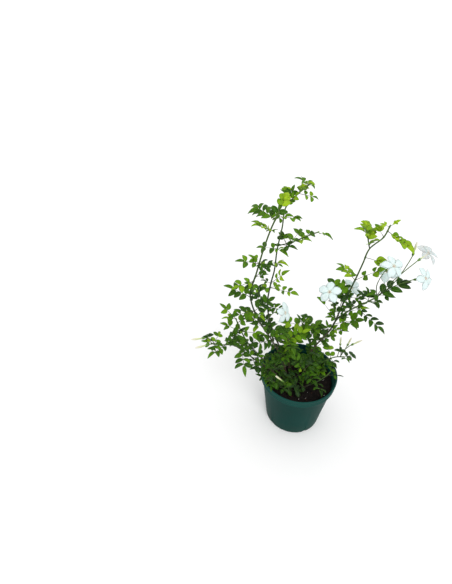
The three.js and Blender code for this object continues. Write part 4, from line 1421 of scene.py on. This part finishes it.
def potProfile():
    # rows of radius and height, from the axis over the outside and the rim, down the inside to the axis
    form = potForm
    top, foot, neck, rim = (form[key] for key in ("height", "baseRadius", "neckRadius", "rimRadius"))
    collar, wall, chamfer, footChamfer = (form[key] for key in
                                          ("collarRadius", "wall", "rimChamfer", "footChamfer"))
    lip, lipFoot = rim - form["lipWidth"], top - form["lipHeight"]
    rings = []
    for height in form["collarRings"]:
        for step, depth in form["ringShape"]:
            level = height + step * form["ringHalf"]
            rings.append((collarRadius(level) - depth * form["ringDepth"], level))
    return [
        (0, 0), (foot - footChamfer, 0), (foot, footChamfer), (neck, wallTop), (collar, collarFoot), *rings,
        (rim, top - chamfer), (rim - chamfer, top), (lip + chamfer, top), (lip, top - chamfer),
        (lip, lipFoot), (rim - wall, lipFoot - form["lipSlope"]), (collar - wall, collarFoot + chamfer),
        (neck - wall, wallTop + chamfer), (foot - wall, footChamfer + wall), (foot - wall - chamfer, wall),
        (0, wall),
    ]


def makePot():
    form, points = potForm, []
    rings = [ringOf(points, radius, height, form["segments"]) for radius, height in potProfile()]
    pot = show(tidyNormals(meshFrom("potShell", np.array(points) * mm, joinRings(rings))))
    rounding = pot.modifiers.new("rounding", "BEVEL")
    rounding.width = form["edgeRounding"] * mm
    rounding.segments = form["roundingSteps"]
    rounding.limit_method = "ANGLE"
    rounding.angle_limit = radians(form["roundedFrom"])
    pot = plainMesh(pot, "potRounded")
    cutters = []
    middle = form["drainRadius"] + form["grooveLength"] / 2
    outside = wallRadius(middle) + form["grooveRadius"] - form["grooveDepth"]
    for k in range(form["drains"]):
        turn = radians(form["firstDrain"] + 360 * k / form["drains"])
        cutters += [
            cutterRod("slot%d" % k, form["drainRadius"], form["drainReach"] * 2, form["drainSides"], pi / 2,
                      (form["baseRadius"], 0, 0), turn),
            cutterRod("groove%d" % k, form["grooveRadius"], form["grooveLength"], form["grooveSides"],
                      atan(wallLean), (outside, 0, middle), turn),
        ]
    cutterShelf = shelf("potCutters", cutters)
    cut = pot.modifiers.new("drains", "BOOLEAN")
    cut.operation = "DIFFERENCE"
    cut.operand_type = "COLLECTION"
    cut.collection = cutterShelf
    cut.solver = "EXACT"
    pot = plainMesh(pot, "nursery_pot")
    clearShelf(cutterShelf)
    pot.data.materials.clear()
    pot.data.materials.append(finishes["pot"])
    pot.data.polygons.foreach_set("material_index", [0] * len(pot.data.polygons))
    pot.data.shade_smooth()
    pot.data.set_sharp_from_angle(angle=radians(form["sharpFrom"]))
    settle(pot, "pot", "pot")


makePot()
print("pot made")


# Soil
soilForm = {
    "level": 101, "mound": 3, "relief": 1.0,
    "waves": {"across": 0.31, "shift": 1.3, "along": 0.27, "slanting": 0.17},
    "roughness": 1.1, "roughScale": 0.16, "roughSlice": 2.7, "roughOctaves": (0.9, 2.1, 4),
    "segments": 120, "rings": 44, "seatGap": 0.3, "footRound": 2, "waist": 50,
    "grainsAbove": 90, "grainsInside": 2.5,     # from the wall
}
grainForm = {"shapes": 4, "seedStep": 3.1, "lumpScale": 2.2, "lumpShift": 1.7, "lump": 0.55,
             "mostTurned": (6.28, 6.28, 6.28)}
scatterForm = {
    "crumbs": {"density": 240000, "seed": 3, "sizes": (0.7, 2.4), "flatness": (0.85, 0.7), "finish": "soil"},
    "bark": {"density": 6500, "seed": 8, "sizes": (1.6, 4.6), "flatness": (0.55, 0.28), "finish": "bark"},
    "perlite": {"density": 2600, "seed": 5, "sizes": (0.9, 2.1), "flatness": (0.9, 0.8), "finish": "perlite"},
}


def roughTop(x, y):
    form, waves = soilForm, soilForm["waves"]
    middle = 1 - hypot(x, y) / potForm["neckRadius"]
    lumps = sin(waves["across"] * x + waves["shift"]) * cos(waves["along"] * y)
    lumps += sin(waves["slanting"] * (x - 2 * y))
    place = Vector((x * form["roughScale"], y * form["roughScale"], form["roughSlice"]))
    fine = noise.fractal(place, *form["roughOctaves"])
    return form["level"] + form["mound"] * middle + form["relief"] * lumps + form["roughness"] * fine


def soilRadius(height):
    return wallRadius(height - potForm["wall"]) - potForm["wall"] - soilForm["seatGap"]


def makeSoil():
    # returns the faces that grains lie on, and all points
    form, points = soilForm, []
    low = potForm["wall"] + form["seatGap"]
    rounded = low + form["footRound"]
    outer = soilRadius(form["level"])
    rows = [(0, low), (soilRadius(low) - form["footRound"], low), (soilRadius(rounded), rounded),
            (soilRadius(form["waist"]), form["waist"])]
    rows += [(outer * ring / form["rings"], None) for ring in range(form["rings"], -1, -1)]
    rings = [ringOf(points, radius, height, form["segments"]) for radius, height in rows]
    points = [(x, y, roughTop(x, y) if height is None else height) for x, y, height in points]
    faces = joinRings(rings)
    places = [Vector(point) * mm for point in points]
    settle(show(tidyNormals(meshFrom("potting_soil", places, faces, [finishes["soil"]]))), "soil", "soil")
    inside = [z > form["grainsAbove"] and hypot(x, y) < outer - form["grainsInside"] for x, y, z in points]
    return [face for face in faces if all(inside[corner] for corner in face)], places


def grainObject(name, seed, flatness, finish):
    # a small broken lump
    form, sheet = grainForm, bmesh.new()
    bmesh.ops.create_icosphere(sheet, subdivisions=1, radius=0.5)
    for vertex in sheet.verts:
        push = noise.noise(vertex.co * form["lumpScale"] + Vector((seed, seed * form["lumpShift"], 0)))
        vertex.co *= 1 + form["lump"] * push
        vertex.co.y *= flatness[0]
        vertex.co.z *= flatness[1]
    made = fromSheet(name, sheet)
    made.data.materials.append(finish)
    return made


def scatterTree():
    tree = NodeTree("soilScatter", {"Grains": "Collection", "Density": "Float", "Seed": "Int",
                                    "Smallest": "Float", "Largest": "Float", "Grain Material": "Material"})
    given = tree.given
    turn = tree.add("FunctionNodeRandomValue", {"Max": grainForm["mostTurned"], "Seed": given["Seed"]},
                    data_type="FLOAT_VECTOR")
    size = tree.add("FunctionNodeRandomValue", {"Min": given["Smallest"], "Max": given["Largest"],
                                                "Seed": given["Seed"]}, data_type="FLOAT")
    spread = tree.add("GeometryNodeDistributePointsOnFaces", {
        "Mesh": given["Geometry"], "Density": given["Density"], "Seed": given["Seed"]})
    placed = tree.add("GeometryNodeInstanceOnPoints", {
        "Points": spread, "Instance": tree.shapes("Grains"), "Pick Instance": True, "Rotation": turn,
        "Scale": size})
    solid = tree.add("GeometryNodeRealizeInstances", {"Geometry": placed})
    return tree.end(tree.add("GeometryNodeSetMaterial", {"Geometry": solid,
                                                         "Material": given["Grain Material"]}))


def scatterOnSoil(faces, points):
    tree = scatterTree()
    for name, form in scatterForm.items():
        finish = finishes[form["finish"]]
        grains = shelf(name + "Grains", [
            grainObject("%s%d" % (name, k), grainForm["seedStep"] * k + 1, form["flatness"], finish)
            for k in range(grainForm["shapes"])])
        ground = show(meshFrom(name + "Ground", points, faces))
        setTree(ground, tree, {"Grains": grains, "Density": float(form["density"]), "Seed": form["seed"],
                               "Smallest": form["sizes"][0] * mm, "Largest": form["sizes"][1] * mm,
                               "Grain Material": finish})
        piece = plainMesh(ground, "soil_" + name)
        clearShelf(grains)
        settle(piece, "soil", "soil")
        print(name, "scattered,", len(piece.data.polygons), "faces")


scatterOnSoil(*makeSoil())


# Floor, light and camera
studio = {
    "floor": 30.0, "floorSkin": {"roughness": 0.9, "specular": 0.0},
    "floorSeen": (0.97, 0.97, 0.97, 1),
    "floorBounce": (0.6, 0.6, 0.6, 1),
    "backdrop": 0.92,
    "sun": 0.95, "sunAngle": 26, "sunTurn": (38, 0, 10),
    "cameraPlace": (-0.1339, -0.4752, 0.7030), "cameraPitch": 39.55,
    "focalPixels": 400, "imageHeight": 584, "sensorWidth": 36, "farthest": 100,
}


def makeStage():
    half = studio["floor"] / 2
    pale = Finish("paleFloor", studio["floorSkin"])
    # the floor is white to look at, and throws less light up at the plant
    seen = pale.node("LightPath").outputs["Is Camera Ray"]
    pale.paint(pale.mix(seen, studio["floorBounce"], studio["floorSeen"]))
    corners = [(-half, -half, 0), (half, -half, 0), (half, half, 0), (-half, half, 0)]
    show(meshFrom("floor", corners, [(0, 1, 2, 3)], [pale.material]))
    world = bpy.data.worlds.new("studio")
    world.use_nodes = True
    light = world.node_tree.nodes["Background"].inputs
    light["Color"].default_value = (1, 1, 1, 1)
    light["Strength"].default_value = studio["backdrop"]
    bpy.context.scene.world = world
    sun = bpy.data.lights.new("softSun", "SUN")
    sun.energy = studio["sun"]
    sun.angle = radians(studio["sunAngle"])
    show(bpy.data.objects.new("softSun", sun)).rotation_euler = [radians(a) for a in studio["sunTurn"]]


def makeCamera():
    camera = bpy.data.cameras.new("camera")
    camera.sensor_width = studio["sensorWidth"]
    camera.lens = studio["focalPixels"] / studio["imageHeight"] * camera.sensor_width
    camera.clip_end = studio["farthest"]
    holder = show(bpy.data.objects.new("camera", camera))
    holder.location = studio["cameraPlace"]
    holder.rotation_euler = (radians(90 - studio["cameraPitch"]), 0, 0)
    bpy.context.scene.camera = holder
    bpy.context.scene.view_settings.view_transform = "Standard"


makeStage()
makeCamera()
print("studio set")
